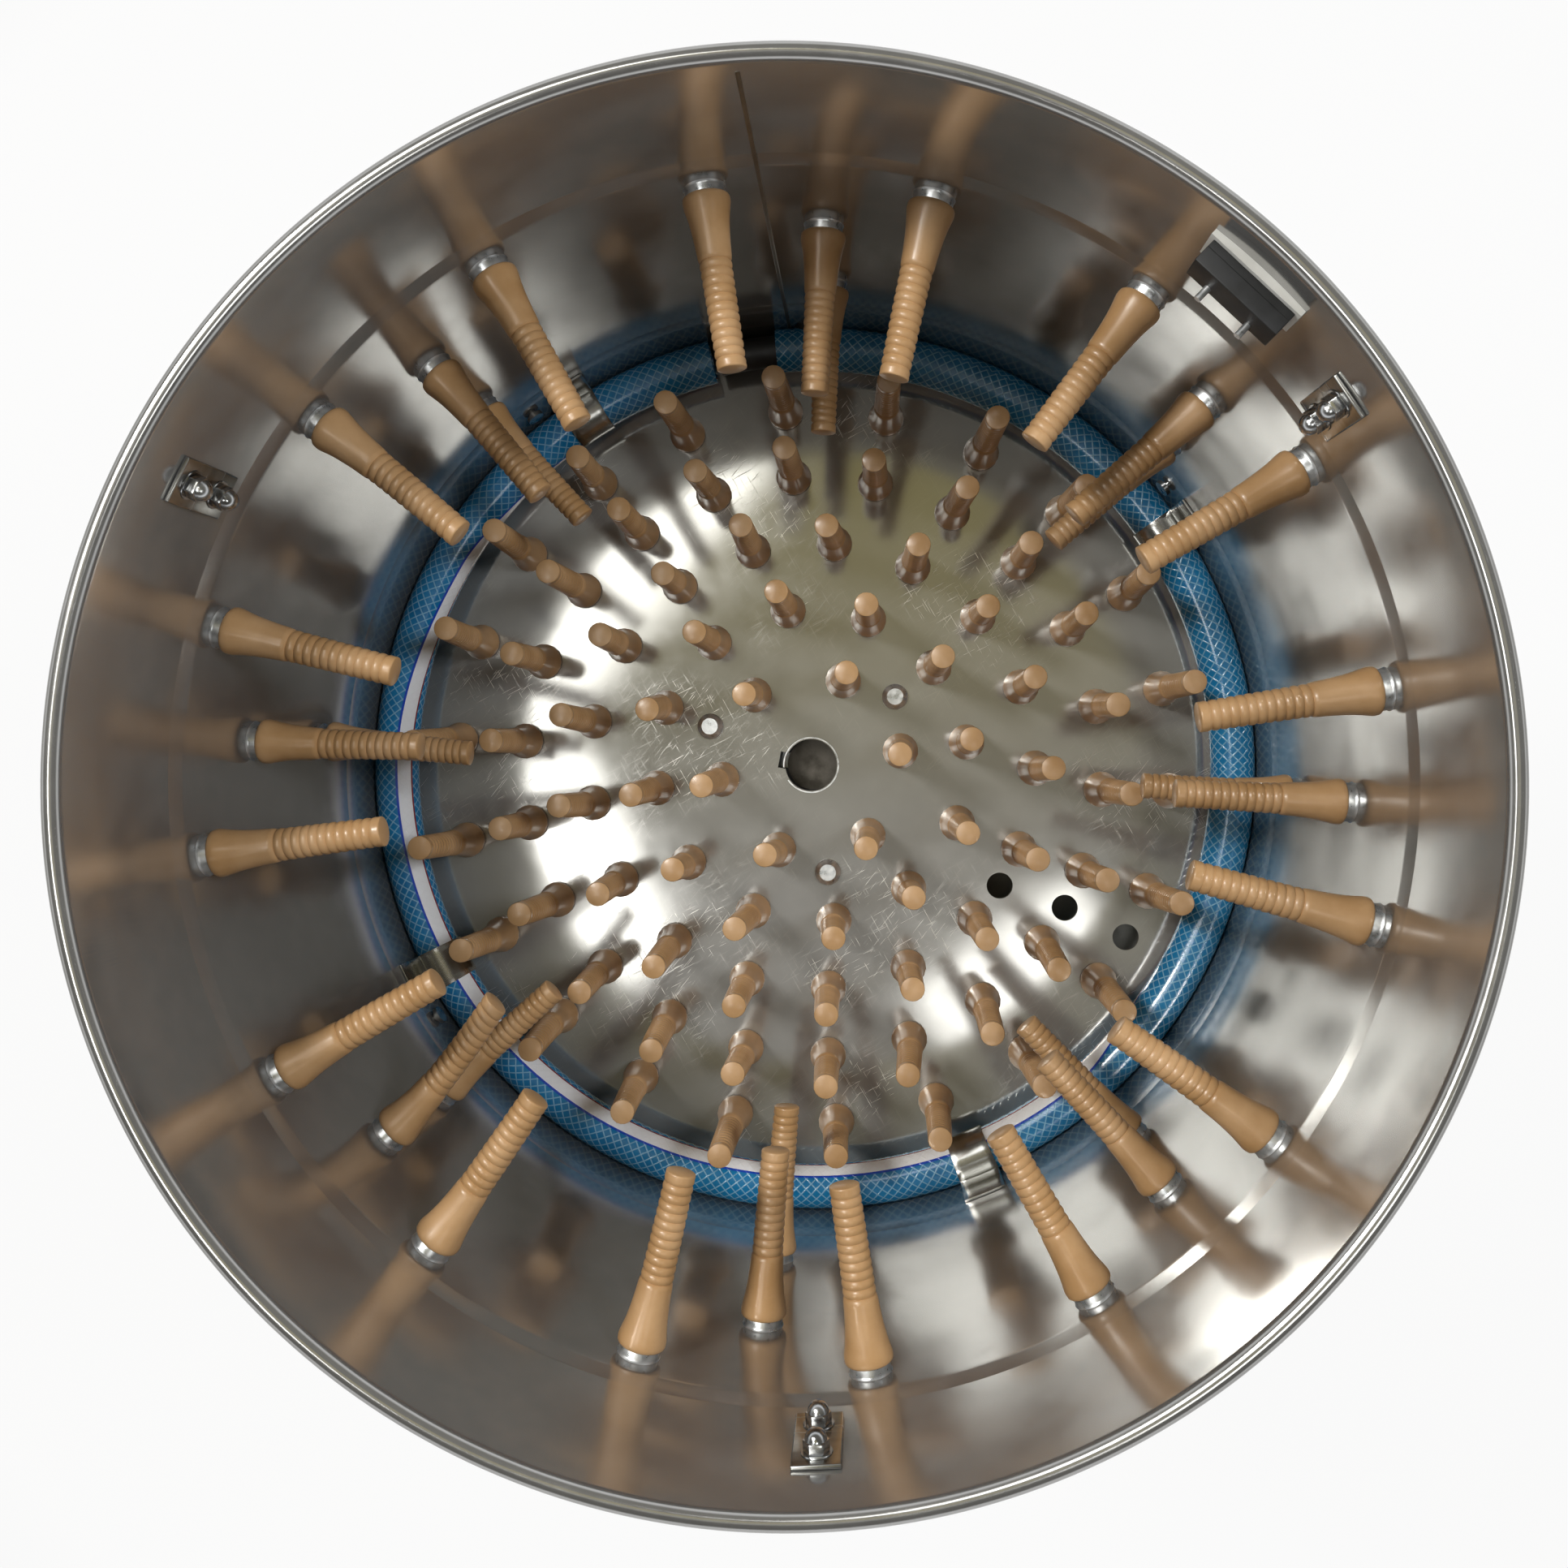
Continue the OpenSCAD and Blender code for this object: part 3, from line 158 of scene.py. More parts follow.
def lin(code):
    """Linear colour of an sRGB hex value."""
    parts = [int(code[k:k + 2], 16) / 255 for k in (1, 3, 5)]
    return [c / 12.92 if c <= 0.04045 else ((c + 0.055) / 1.055) ** 2.4 for c in parts] + [1.0]


def blend(tree, part, first, second):
    """Colour between two colours. The Mix node has its colours at inputs 6 and 7 and at output 2."""
    return put(tree, "Mix", {0: part, 6: first, 7: second}, data_type="RGBA").outputs[2]


def between(tree, part, first, second):
    """Value between two values, which the Mix node has at inputs 2 and 3."""
    return put(tree, "Mix", {0: part, 2: first, 3: second}).outputs[0]


def ramp(tree, value, start, end, first=0.0, last=1.0, **more):
    """Value that goes from first to last while another goes from start to end, and stays there."""
    return put(tree, "MapRange", dict(enumerate((value, start, end, first, last))), **more).outputs[0]


def math_of(tree, operation, *values):
    """Value of one step of arithmetic."""
    return put(tree, "Math", dict(enumerate(values)), operation=operation).outputs[0]


def add_camera():
    """Looks down into the drum from half a metre above the rim, as the photograph does."""
    place = (0.0389, 0.0134, 1.3563)
    turns = ((0.08, "Z"), (-2.35, "Y"), (-1.0, "X"))
    data = bpy.data.cameras.new("camera")
    data.sensor_width = 36.0
    data.lens = 31.15
    data.shift_x = -0.0217
    data.shift_y = -0.0410
    data.clip_start = 0.02
    data.clip_end = 50
    made = bpy.data.objects.new("camera", data)
    turn = Matrix.Identity(3)
    for degrees, axis in turns:
        turn = turn @ Matrix.Rotation(math.radians(degrees), 3, axis)
    made.matrix_world = Matrix.Translation(place) @ turn.transposed().to_4x4()
    bpy.context.collection.objects.link(made)
    bpy.context.scene.camera = made


def add_lamp(name, place, aim, size, watts, code, lights=True, shines=True):
    """Flat lamp. lights is whether it lights matt surfaces, shines whether shiny ones mirror it."""
    data = bpy.data.lights.new(name, "AREA")
    data.shape = "RECTANGLE"
    data.size = size[0]
    data.size_y = size[1]
    data.energy = watts
    data.color = lin(code)[:3]
    made = bpy.data.objects.new(name, data)
    away = Vector(place) - Vector(aim)
    made.matrix_world = Matrix.Translation(place) @ away.to_track_quat("Z", "Y").to_matrix().to_4x4()
    made.visible_diffuse = lights
    made.visible_glossy = shines
    bpy.context.collection.objects.link(made)


def greyed(tree, place, much):
    """White that turns pale grey by a given share, most of all to the left and right."""
    way = put(tree, "VectorMath", {0: place}, operation="NORMALIZE").outputs[0]
    x = put(tree, "SeparateXYZ", {0: way}).outputs[0]
    side = math_of(tree, "MULTIPLY", x, x)
    side = ramp(tree, side, 0.0, 1.0, 0.3, 1.0)
    part = math_of(tree, "MULTIPLY", side, much)
    return blend(tree, part, lin("#ffffff"), lin("#b0b0ad"))


def add_world():
    """Room that is pale all round at eye level and dimmer overhead, most of all on the near side. Straight
    above it is lighter again, and yellowish on the far side."""
    world = bpy.data.worlds.new("room")
    bpy.context.scene.world = world
    world.use_nodes = True
    tree = world.node_tree
    way = put(tree, "TexCoord").outputs["Generated"]
    y, z = put(tree, "SeparateXYZ", {0: way}).outputs[1:]
    far = ramp(tree, y, -0.5, 0.5)
    ceiling = blend(tree, far, lin("#4a4741"), lin("#75726a"))
    ahead = ramp(tree, y, -0.1, 0.2)
    middle = blend(tree, ahead, lin("#a09d96"), lin("#b8ad78"))
    overhead = ramp(tree, z, 0.2, 0.55, interpolation_type="SMOOTHSTEP")
    low = ramp(tree, z, 0.0, 0.3, 1.0, 0.0)
    tone = blend(tree, overhead, greyed(tree, way, low), ceiling)
    straight_up = ramp(tree, z, 0.95, 0.985)
    tone = blend(tree, straight_up, tone, middle)
    tree.links.new(tone, tree.nodes["Background"].inputs["Color"])


def add_floor():
    """White studio floor that keeps the machine's shadow and greys a little far from it."""
    glow_share = 0.92
    bpy.ops.mesh.primitive_plane_add(size=14)
    floor = bpy.context.object
    floor.name = "floor"
    made = bpy.data.materials.new("studio_floor")
    made.use_nodes = True
    tree = made.node_tree
    matt = put(tree, "BsdfDiffuse", {"Color": lin("#f4f4f2")})
    place = put(tree, "TexCoord").outputs["Object"]
    away = put(tree, "VectorMath", {0: place}, operation="LENGTH").outputs["Value"]
    far = ramp(tree, away, 1.1, 3.0)
    glow = put(tree, "Emission", {"Color": greyed(tree, place, far), "Strength": 1.0})
    ray = put(tree, "LightPath").outputs
    seen = math_of(tree, "MAXIMUM", ray["Is Camera Ray"], ray["Is Glossy Ray"])
    seen = math_of(tree, "MAXIMUM", seen, ray["Is Transmission Ray"])
    part = math_of(tree, "MULTIPLY", seen, glow_share)
    both = put(tree, "MixShader", {0: part, 1: matt.outputs[0], 2: glow.outputs[0]})
    tree.links.new(both.outputs[0], tree.nodes["Material Output"].inputs["Surface"])
    floor.data.materials.append(made)


INSIDE = (0.0, 0.0, 0.6)
PANEL_WHITE = "#fffefa"
bpy.context.scene.view_settings.view_transform = "Standard"
add_camera()
add_world()
# Two lamps light the part, and only the left one is mirrored in it. The three panels are only mirrored.
add_lamp("left_lamp", (-1.13, 0.74, 2.52), (0.03, -0.02, 0.6), (0.4, 0.4), 26, "#fffdf8")
add_lamp("right_lamp", (1.05, 0.30, 2.15), (-0.2, -0.05, 0.52), (0.5, 0.5), 14, "#f6faff", shines=False)
add_lamp("ceiling_panel", (-0.62, -0.28, 2.5), INSIDE, (0.47, 0.32), 3.5, PANEL_WHITE, lights=False)
add_lamp("left_panel", (-0.74, 0.58, 2.7), INSIDE, (1.0, 0.8), 11.5, PANEL_WHITE, lights=False)
add_lamp("near_panel", (0.40, -0.55, 2.5), INSIDE, (0.42, 0.42), 2.2, PANEL_WHITE, lights=False)


# Finishes

def start_finish(name, **look):
    """New material: gives it, its node tree, its shader and its object coordinates."""
    made = bpy.data.materials.new(name)
    made.use_nodes = True
    tree = made.node_tree
    shader = tree.nodes["Principled BSDF"]
    for socket, value in look.items():
        shader.inputs[socket.replace("_", " ")].default_value = value
    return made, tree, shader.inputs, put(tree, "TexCoord").outputs["Object"]


def noise(tree, place, scale, detail, **more):
    """Cloudy pattern, with so many clouds to a metre."""
    return put(tree, "TexNoise", {"Vector": place, "Scale": scale, "Detail": detail, **more}).outputs[0]


def bumped(tree, height, depth_mm, **more):
    """Surface that a pattern raises by a depth."""
    inputs = {"Height": height, "Distance": depth_mm * MM, "Strength": 1.0, **more}
    return put(tree, "Bump", inputs).outputs[0]


def scuffs(tree, place):
    """Mask of worn patches of scratches that cross one another. They are 0.5 mm wide and some 16 mm long,
    wider than real ones, because those would be too fine to show."""
    length = 16 * MM
    width = 0.5 * MM
    patches = noise(tree, place, 14, 1)
    patches = ramp(tree, patches, 0.42, 0.68, 0.0, 0.9)
    crossed = 0.0
    for degrees in (28, 52, -60):
        laid = {"Vector": place, "Rotation": (0, 0, math.radians(degrees)), "Scale": (length, width, 1.0)}
        along = put(tree, "Mapping", laid, vector_type="TEXTURE").outputs[0]
        lines = ramp(tree, noise(tree, along, 1, 1), 0.66, 0.74)
        crossed = math_of(tree, "MAXIMUM", lines, crossed)
    return math_of(tree, "MULTIPLY", patches, crossed)


def sheet_steel(name, deep, bright, smooth, dull, wave, grain,
                lay=(900, 900, 60), streaks=0.0, metal=1.0, scuffed=False):
    """Rolled stainless sheet: blurred reflections that swim where the sheet isn't quite flat, between
    cloudy patches some 90 mm across and spots some 12 mm across. wave is the depth of its waves in
    millimetres, grain the depth of its fine marks. lay is how many marks there are to a metre along
    x, y and z, and streaks how much they show in the colour."""
    made, tree, shader, place = start_finish(name, Metallic=metal)
    smear = noise(tree, place, 11, 4, Distortion=0.6)
    spots = noise(tree, place, 85, 3)
    both = between(tree, 0.35, smear, spots)
    fine = put(tree, "Mapping", {"Vector": place, "Scale": lay}).outputs[0]
    lines = noise(tree, fine, 1, 3)
    both = between(tree, streaks, both, lines)
    tone = blend(tree, both, lin(deep), lin(bright))
    rough = ramp(tree, both, 0.3, 0.7, smooth, dull)
    if scuffed:
        worn = scuffs(tree, place)
        tone = blend(tree, worn, tone, lin("#dedcd6"))
        rough = math_of(tree, "MULTIPLY_ADD", worn, 0.3, rough)
    swell = bumped(tree, noise(tree, place, 13, 1), wave)
    skin = bumped(tree, lines, grain, Normal=swell)
    for socket, value in (("Base Color", tone), ("Roughness", rough), ("Normal", skin)):
        tree.links.new(value, shader[socket])
    return made


def plain_coat(name, deep, bright, size_mm, smooth, dull, pit, **look):
    """Moulded, cast, plated or painted surface: its colour drifts between two tones over a size in
    millimetres, and its skin has pits 0.9 mm across of a depth in millimetres."""
    made, tree, shader, place = start_finish(name, **look)
    drift = noise(tree, place, 1000 / size_mm, 5)
    wear = ramp(tree, drift, 0.35, 0.65)
    tone = blend(tree, wear, lin(deep), lin(bright))
    rough = ramp(tree, wear, 0.0, 1.0, smooth, dull)
    skin = bumped(tree, noise(tree, place, 1100, 2), pit)
    for socket, value in (("Base Color", tone), ("Roughness", rough), ("Normal", skin)):
        tree.links.new(value, shader[socket])
    return made


def hose_finish():
    """Clear blue PVC over a woven polyester braid: deep blue with pale diamonds under a wet-looking skin,
    and a white stripe between a blue and a red line. The map's U runs along the hose and V round it from
    the stripe's middle, both in metres. The braid's pitch is a little coarse, so that it shows."""
    made, tree, shader, place = start_finish(
        "braided_pvc", Roughness=0.22, IOR=1.52, Coat_Weight=0.6, Coat_Roughness=0.08)
    pitch = 6.0 * MM
    along = put(tree, "UVMap", uv_map="along_and_round").outputs[0]
    u, v = put(tree, "SeparateXYZ", {0: along}).outputs[:2]
    threads = []
    for lean in (1.0, -1.0):
        skew = math_of(tree, "MULTIPLY_ADD", v, lean, u)
        cell = math_of(tree, "MULTIPLY", skew, 1 / pitch)
        fold = math_of(tree, "PINGPONG", cell, 0.5)
        threads.append(ramp(tree, fold, 0.03, 0.12, 1.0, 0.0))
    braid = math_of(tree, "MAXIMUM", *threads)
    body = blend(tree, noise(tree, place, 60, 2), lin("#07639c"), lin("#148ec8"))
    tone = blend(tree, math_of(tree, "MULTIPLY", braid, 0.6), body, lin("#a6daee"))
    # The stripe and its two lines: from where to where round the hose, in millimetres, and the colour
    half = 4.2
    bands = ((-half, half, "#fbfcff"), (-5.6, -half, "#1548c0"), (half, 5.3, "#8c2c30"))
    for low, high, code in bands:
        above = math_of(tree, "GREATER_THAN", v, low * MM)
        below = math_of(tree, "LESS_THAN", v, high * MM)
        tone = blend(tree, math_of(tree, "MULTIPLY", above, below), tone, lin(code))
    skin = bumped(tree, braid, 0.25, Strength=0.5)
    tree.links.new(tone, shader["Base Color"])
    tree.links.new(skin, shader["Normal"])
    return made


# Polished stainless: half a mirror, in which the fingers show as long soft smears
wall_steel = sheet_steel("polished_drum_steel", "#a2a19f", "#c5c5c4", 0.11, 0.19, 0.7, 0.004, metal=0.82)
# Flat stainless worn by use: clear reflections under patches of pale scratches
plate_steel = sheet_steel("scuffed_plate_steel", "#adadaa", "#c4c4c1", 0.07, 0.14, 0.06, 0.003,
                          metal=0.66, scuffed=True)
# Brushed stainless: level streaks, drawn over 2 mm tall because real ones are too fine to show
skirt_steel = sheet_steel("brushed_skirt_steel", "#8d8d8a", "#c9c9c6", 0.16, 0.3, 0.35, 0.006,
                          lay=(10, 10, 420), streaks=0.8)
# Ground weld: a darker, duller line in the polished wall
weld_steel = sheet_steel("weld_seam_steel", "#6b655c", "#a09a90", 0.28, 0.45, 0.1, 0.03)
# Fresh zinc: pale, with a soft sheen
bright_zinc = plain_coat("bright_zinc", "#c6cacd", "#e9ebec", 4, 0.26, 0.42, 0.02, Metallic=0.88)
# Steel under a film of oil: nearly black, with a broad sheen
oiled_steel = plain_coat("oiled_steel", "#3d3a35", "#5a5650", 8, 0.35, 0.5, 0.02, Metallic=0.9)
finish_of = {
    "stainless": skirt_steel,
    # Zinc with a cloudy bloom
    "zinc_steel": plain_coat("zinc_plate", "#9a9ea1", "#c8cbcc", 9, 0.22, 0.42, 0.01, Metallic=1.0),
    # Ground and hardened: bright, almost a mirror
    "bearing_steel": plain_coat("ground_steel", "#b0b2b4", "#d4d6d8", 14, 0.12, 0.25, 0.005, Metallic=1.0),
    # Natural rubber: tan, a little waxy, with soft highlights
    "finger_rubber": plain_coat("natural_rubber", "#ba9060", "#d1a87a", 26, 0.32, 0.46, 0.03,
                                IOR=1.52, Coat_Weight=0.25, Coat_Roughness=0.18),
    # Filled rubber: dull black
    "black_rubber": plain_coat("black_rubber", "#1a1a1b", "#2c2c2d", 8, 0.55, 0.8, 0.06, IOR=1.52),
    # Tyre rubber: dull dark grey
    "wheel_rubber": plain_coat("grey_tyre_rubber", "#333436", "#4a4b4d", 10, 0.55, 0.8, 0.05, IOR=1.52),
    # Cast iron: dark, with a rough sand-cast skin
    "cast_iron": plain_coat("cast_iron", "#3f4244", "#63676a", 12, 0.4, 0.65, 0.12, Metallic=0.7),
    # Motor enamel: blue-grey and slightly glossy
    "motor_paint": plain_coat("motor_enamel", "#31506a", "#44647f", 40, 0.28, 0.45, 0.05, Coat_Weight=0.2),
    # Copper under varnish: brown, with a metal glint
    "winding": plain_coat("varnished_copper", "#6e3c20", "#a8683a", 4, 0.25, 0.45, 0.1, Metallic=0.6),
    # Powder coat: even pale grey with a fine orange-peel skin
    "grey_paint": plain_coat("powder_coat", "#bdbdb8", "#cfcfca", 60, 0.38, 0.52, 0.06),
    # Moulded ABS: satin
    "black_plastic": plain_coat("black_abs", "#1c1d1e", "#292a2c", 12, 0.4, 0.58, 0.03),
    "white_plastic": plain_coat("white_abs", "#dfdfda", "#efefeb", 20, 0.35, 0.5, 0.02),
    # Button caps: clear colour with a gloss
    "green_plastic": plain_coat("green_button", "#1f7a3a", "#2f9a50", 15, 0.22, 0.36, 0.01),
    "red_plastic": plain_coat("red_button", "#a01a15", "#c42a22", 15, 0.22, 0.36, 0.01),
    "blue_hose": hose_finish(),
}


# Modelling

def deselect():
    """Leaves edit mode and selects nothing."""
    if bpy.context.object and bpy.context.object.mode != "OBJECT":
        bpy.ops.object.mode_set(mode="OBJECT")
    bpy.ops.object.select_all(action="DESELECT")


def edit(action="SELECT"):
    """Enters edit mode with all points selected, or none."""
    bpy.ops.object.mode_set(mode="EDIT")
    bpy.ops.mesh.select_mode(type="VERT")
    bpy.ops.mesh.select_all(action=action)


def clean():
    """Merges doubles, turns the faces outwards and leaves edit mode."""
    bpy.ops.mesh.select_all(action="SELECT")
    bpy.ops.mesh.remove_doubles(threshold=0.002 * MM)
    bpy.ops.mesh.normals_make_consistent(inside=False)
    bpy.ops.object.mode_set(mode="OBJECT")
    return bpy.context.object


def draw(points):
    """Line of (radius, height) points in the XZ plane, drawn by extruding a point. Stays in edit mode."""
    deselect()
    bpy.ops.mesh.primitive_plane_add(size=MM)
    edit()
    bpy.ops.mesh.merge(type="CENTER")
    here = Vector((0, 0, 0))
    first = True
    for r, z in points:
        step = Vector((r * MM, 0, z * MM)) - here
        here += step
        if first:
            bpy.ops.transform.translate(value=step)
        else:
            bpy.ops.mesh.extrude_vertices_move(TRANSFORM_OT_translate={"value": step})
        first = False
    bpy.ops.mesh.select_all(action="SELECT")


def turned(points, steps, start=0.0, sweep=360.0):
    """Outline spun round the Z axis. A closed outline ends where it starts."""
    draw(points)
    if start:
        bpy.ops.transform.rotate(value=-math.radians(start), orient_axis="Z", center_override=(0, 0, 0))
    bpy.ops.mesh.spin(steps=steps, angle=math.radians(sweep), center=(0, 0, 0), axis=(0, 0, 1))
    return clean()


def bevelled(lo, hi, width, segments=3):
    """Box from its lowest to its highest corner, with rounded edges."""
    deselect()
    lo = Vector(lo) * MM
    hi = Vector(hi) * MM
    bpy.ops.mesh.primitive_cube_add(size=1)
    edit()
    bpy.ops.transform.resize(value=hi - lo)
    bpy.ops.transform.translate(value=(lo + hi) / 2)
    bpy.ops.mesh.bevel(offset=width * MM, segments=segments, affect="EDGES")
    return clean()


def hexagon(r, z0, z1, chamfer):
    """Hexagon bar on the Z axis with rounded edges."""
    deselect()
    bpy.ops.mesh.primitive_cylinder_add(vertices=6, radius=r * MM, depth=(z1 - z0) * MM)
    edit()
    bpy.ops.transform.translate(value=(0, 0, (z0 + z1) / 2 * MM))
    bpy.ops.mesh.bevel(offset=chamfer * MM, segments=2, affect="EDGES")
    return clean()


def cut(piece, tool):
    """Takes a tool's shape away from a piece."""
    deselect()
    piece.select_set(True)
    bpy.context.view_layer.objects.active = piece
    less = piece.modifiers.new("cut", "BOOLEAN")
    less.object = tool
    less.operation = "DIFFERENCE"
    less.solver = "EXACT"
    bpy.ops.object.modifier_apply(modifier=less.name)
    bpy.data.objects.remove(tool)
    return piece


def thicken(piece, thickness, offset):
    """Gives a bare surface the thickness of its sheet."""
    thick = piece.modifiers.new("thick", "SOLIDIFY")
    thick.thickness = thickness * MM
    thick.offset = offset
    bpy.ops.object.modifier_apply(modifier=thick.name)


def joined(*pieces):
    """Several meshes made into one."""
    deselect()
    for piece in pieces:
        piece.select_set(True)
    bpy.context.view_layer.objects.active = pieces[0]
    if len(pieces) > 1:
        bpy.ops.object.join()
    return pieces[0]


def copies(model, places, shape=None):
    """Copies of a model at given places, each shaped in turn, joined into one piece."""
    made = []
    for index, place in enumerate(places):
        one = model.copy()
        one.data = model.data.copy()
        if shape:
            shape(one.data, index)
        one.data.transform(place)
        bpy.context.collection.objects.link(one)
        made.append(one)
    bpy.data.objects.remove(model)
    return joined(*made)


def keep(piece, name, body, slot, *replaced, finish=None, sharp=32):
    """Names a finished piece, smooths it, ties it to its body, and hides the CAD nodes it stands for.
    It takes its slot's finish unless another is given."""
    deselect()
    piece.name = piece.data.name = name
    piece.select_set(True)
    bpy.context.view_layer.objects.active = piece
    bpy.ops.object.shade_smooth_by_angle(angle=math.radians(sharp))
    piece.data.materials.clear()
    piece.data.materials.append(finish or finish_of[slot])
    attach(piece, body)
    if replaced:
        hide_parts(*replaced)
    return piece


def moved(x, y, z):
    """Place in millimetres."""
    return Matrix.Translation(Vector((x, y, z)) * MM)


def spun_at(degrees, r=0.0, z=0.0):
    """Place at an angle round the drum, a radius and a height."""
    return Matrix.Rotation(math.radians(degrees), 4, "Z") @ moved(r, 0, z)


def on_wall(degrees, z, r=DRUM_R):
    """Place on the inner wall, with +Z towards the axis."""
    return spun_at(degrees, r, z) @ Matrix.Rotation(math.radians(-90), 4, "Y")


def out_wall(degrees, z, r):
    """Place on an outer wall, with +Z away from the axis."""
    return spun_at(degrees, r, z) @ Matrix.Rotation(math.radians(90), 4, "Y")


def arc(r0, z0, radius, start, end, count):
    """Points of an arc in an outline."""
    turns = [math.radians(start + (end - start) * k / (count - 1)) for k in range(count)]
    return [(r0 + radius * math.cos(t), z0 + radius * math.sin(t)) for t in turns]


# Drum

def drum_outline():
    """Section of the drum's wall. Each bead is a shallow slope inside, under a small lip, and round
    outside. A short stretch beside it keeps the wall's shading flat."""
    half = BEAD_W / 2
    beside = half + 2.5
    lip = 0.8
    below = 1.0
    soft = 0.6
    bend = (half ** 2 + BEAD_H ** 2) / (2 * BEAD_H)
    mid = DRUM_R + BEAD_H - bend
    outer = DRUM_R + SHEET
    outer_half = math.degrees(math.acos((outer - mid) / (bend + SHEET)))
    inside = [(DRUM_R, DRUM_Z0)]
    outside = [(outer, DRUM_Z0)]
    for z in BEAD_ZS:
        foot = z - half - below
        top = z + half - lip
        slope = BEAD_H / (top - foot)
        inside += [(DRUM_R, z - beside - below), (DRUM_R, foot - soft)]
        inside += [(DRUM_R + slope * soft, foot + soft), (DRUM_R + BEAD_H, top)]
        inside += [(DRUM_R, z + half), (DRUM_R, z + beside)]
        bulge = arc(mid, z, bend + SHEET, -outer_half, outer_half, 9)
        outside += [(outer, z - beside - SHEET)] + bulge + [(outer, z + beside + SHEET)]
    curl = math.degrees(math.acos((outer - DRUM_R - RIM_R) / RIM_R))
    roll = arc(DRUM_R + RIM_R, RIM_Z - RIM_R, RIM_R, 180, -curl, 26)
    return inside + roll + outside[::-1] + inside[:1]


# The drum is polished inside and on its rim, and brushed outside
wall = keep(turned(drum_outline(), 288), "drum_wall", "base", "stainless", "drum", finish=wall_steel)
wall.data.materials.append(skirt_steel)
for face in wall.data.polygons:
    outside = math.hypot(face.center.x, face.center.y) > (DRUM_R + SHEET / 2) * MM
    face.material_index = int(outside and face.center.z < (RIM_Z - 2 * RIM_R) * MM)

seam = bevelled((DRUM_R - 0.25, -1.0, DRUM_Z0 + 8), (DRUM_R + 0.6, 1.0, RIM_Z - 9), 0.2, 2)
keep(copies(seam, [spun_at(SEAM_DEG)]), "drum_seam", "base", "stainless", finish=weld_steel)

wall_places = [
    on_wall(360 / WALL_GROUPS * k + WALL_TURN + side, z)
    for k in range(WALL_GROUPS) for side, z in WALL_ROWS
]
collar = turned([
    (HOLE_R, -0.2), (10.3, -0.2), (9.6, 0.5), (9.3, 1.3), (9.3, FLANGE_L - 0.5), (9.0, FLANGE_L),
    (8.4, FLANGE_L), (HOLE_R, FLANGE_L - 0.3), (HOLE_R, -0.2),
], 28)
keep(copies(collar, wall_places), "finger_collars", "base", "stainless", "drum",
     finish=bright_zinc, sharp=50)


# Fingers

def finger_outline(front, back):
    """Head behind the sheet, grip in the hole from back to front, bell, neck, ribs and tip."""
    grip_r = HOLE_R - SEAT
    points = [(0, back - 5), (12.6, back - 5), (13.7, back - 4.4), (14, back - 3.2), (14, back - 0.5)]
    points += [(13.6, back), (grip_r, back), (grip_r, front), (10.3, front), (10.85, front + 0.7)]
    points += [(11, front + 2), (10.9, front + 3.6), (10.5, front + 5.4), (10.0, front + 7.6)]
    points += [(9.5, front + 10.2), (9.0, front + 13.5), (8.55, front + 17.5), (8.15, front + 22)]
    points.append((7.85, front + 27))
    rib_z = FINGER_L - 49
    pitch = 4.0
    count = 12
    points.append((7.6, rib_z - 0.6))
    for k in range(count):
        crest = 7.5 - 0.055 * k
        z = rib_z + pitch * k
        points += [(crest - 0.75, z), (crest - 0.2, z + 0.8), (crest, z + 1.9), (crest - 0.15, z + 3.2)]
    return points + [(6.85, FINGER_L - 0.9), (6.75, FINGER_L - 0.2), (6.4, FINGER_L), (0, FINGER_L)]


def flexed(most, pushed=()):
    """Bends a finger a little to one side, each by a different amount. The pushed ones lean as given."""
    def shape(mesh, index):
        way = random.uniform(0, 2 * math.pi)
        much = random.uniform(0.25, 1.0) * most
        x, y = dict(pushed).get(index, (math.cos(way) * much, math.sin(way) * much))
        for v in mesh.vertices:
            far = max(v.co.z / MM - 8, 0) / FINGER_L
            v.co.x += x * MM * far ** 1.5
            v.co.y += y * MM * far ** 1.5
    return shape


wall_finger = turned(finger_outline(FLANGE_L + SEAT, -SHEET - SEAT), 24)
keep(copies(wall_finger, wall_places, flexed(WALL_BEND, PUSHED)), "rubber_wall_fingers", "base",
     "finger_rubber", "wall_fingers", sharp=60)
plate_places = [
    spun_at(first + k * 360 / count, r, PLATE_Z) for r, count, first in PLATE_RINGS for k in range(count)
]
plate_finger = turned(finger_outline(SEAT, -PLATE_SHEET - SEAT), 18)
keep(copies(plate_finger, plate_places, flexed(PLATE_BEND)), "rubber_plate_fingers", "turntable",
     "finger_rubber", "plate_fingers", sharp=60)


# Spray hose and its straps

# Angle round the drum and angle round the hose where the stripe lies: the hose has twisted as it was laid,
# and hides its stripe on the right
STRIPE = (
    (-50, 145), (-28, 215), (0, 235), (60, 235), (110, 215), (135, 190),
    (150, 158), (180, 128), (215, 135), (270, 152), (310, 145),
)


def stripe_turn(degrees):
    """Where the hose's stripe lies round it, smoothly between the given places."""
    for (a, turn_a), (b, turn_b) in zip(STRIPE, STRIPE[1:]):
        if a <= degrees <= b:
            part = (degrees - a) / (b - a)
            return turn_a + (turn_b - turn_a) * part * part * (3 - 2 * part)
    return stripe_turn(degrees - 360)


def near(angle, middle):
    """The same angle within half a turn of a middle one."""
    return middle + (angle - middle + 180) % 360 - 180


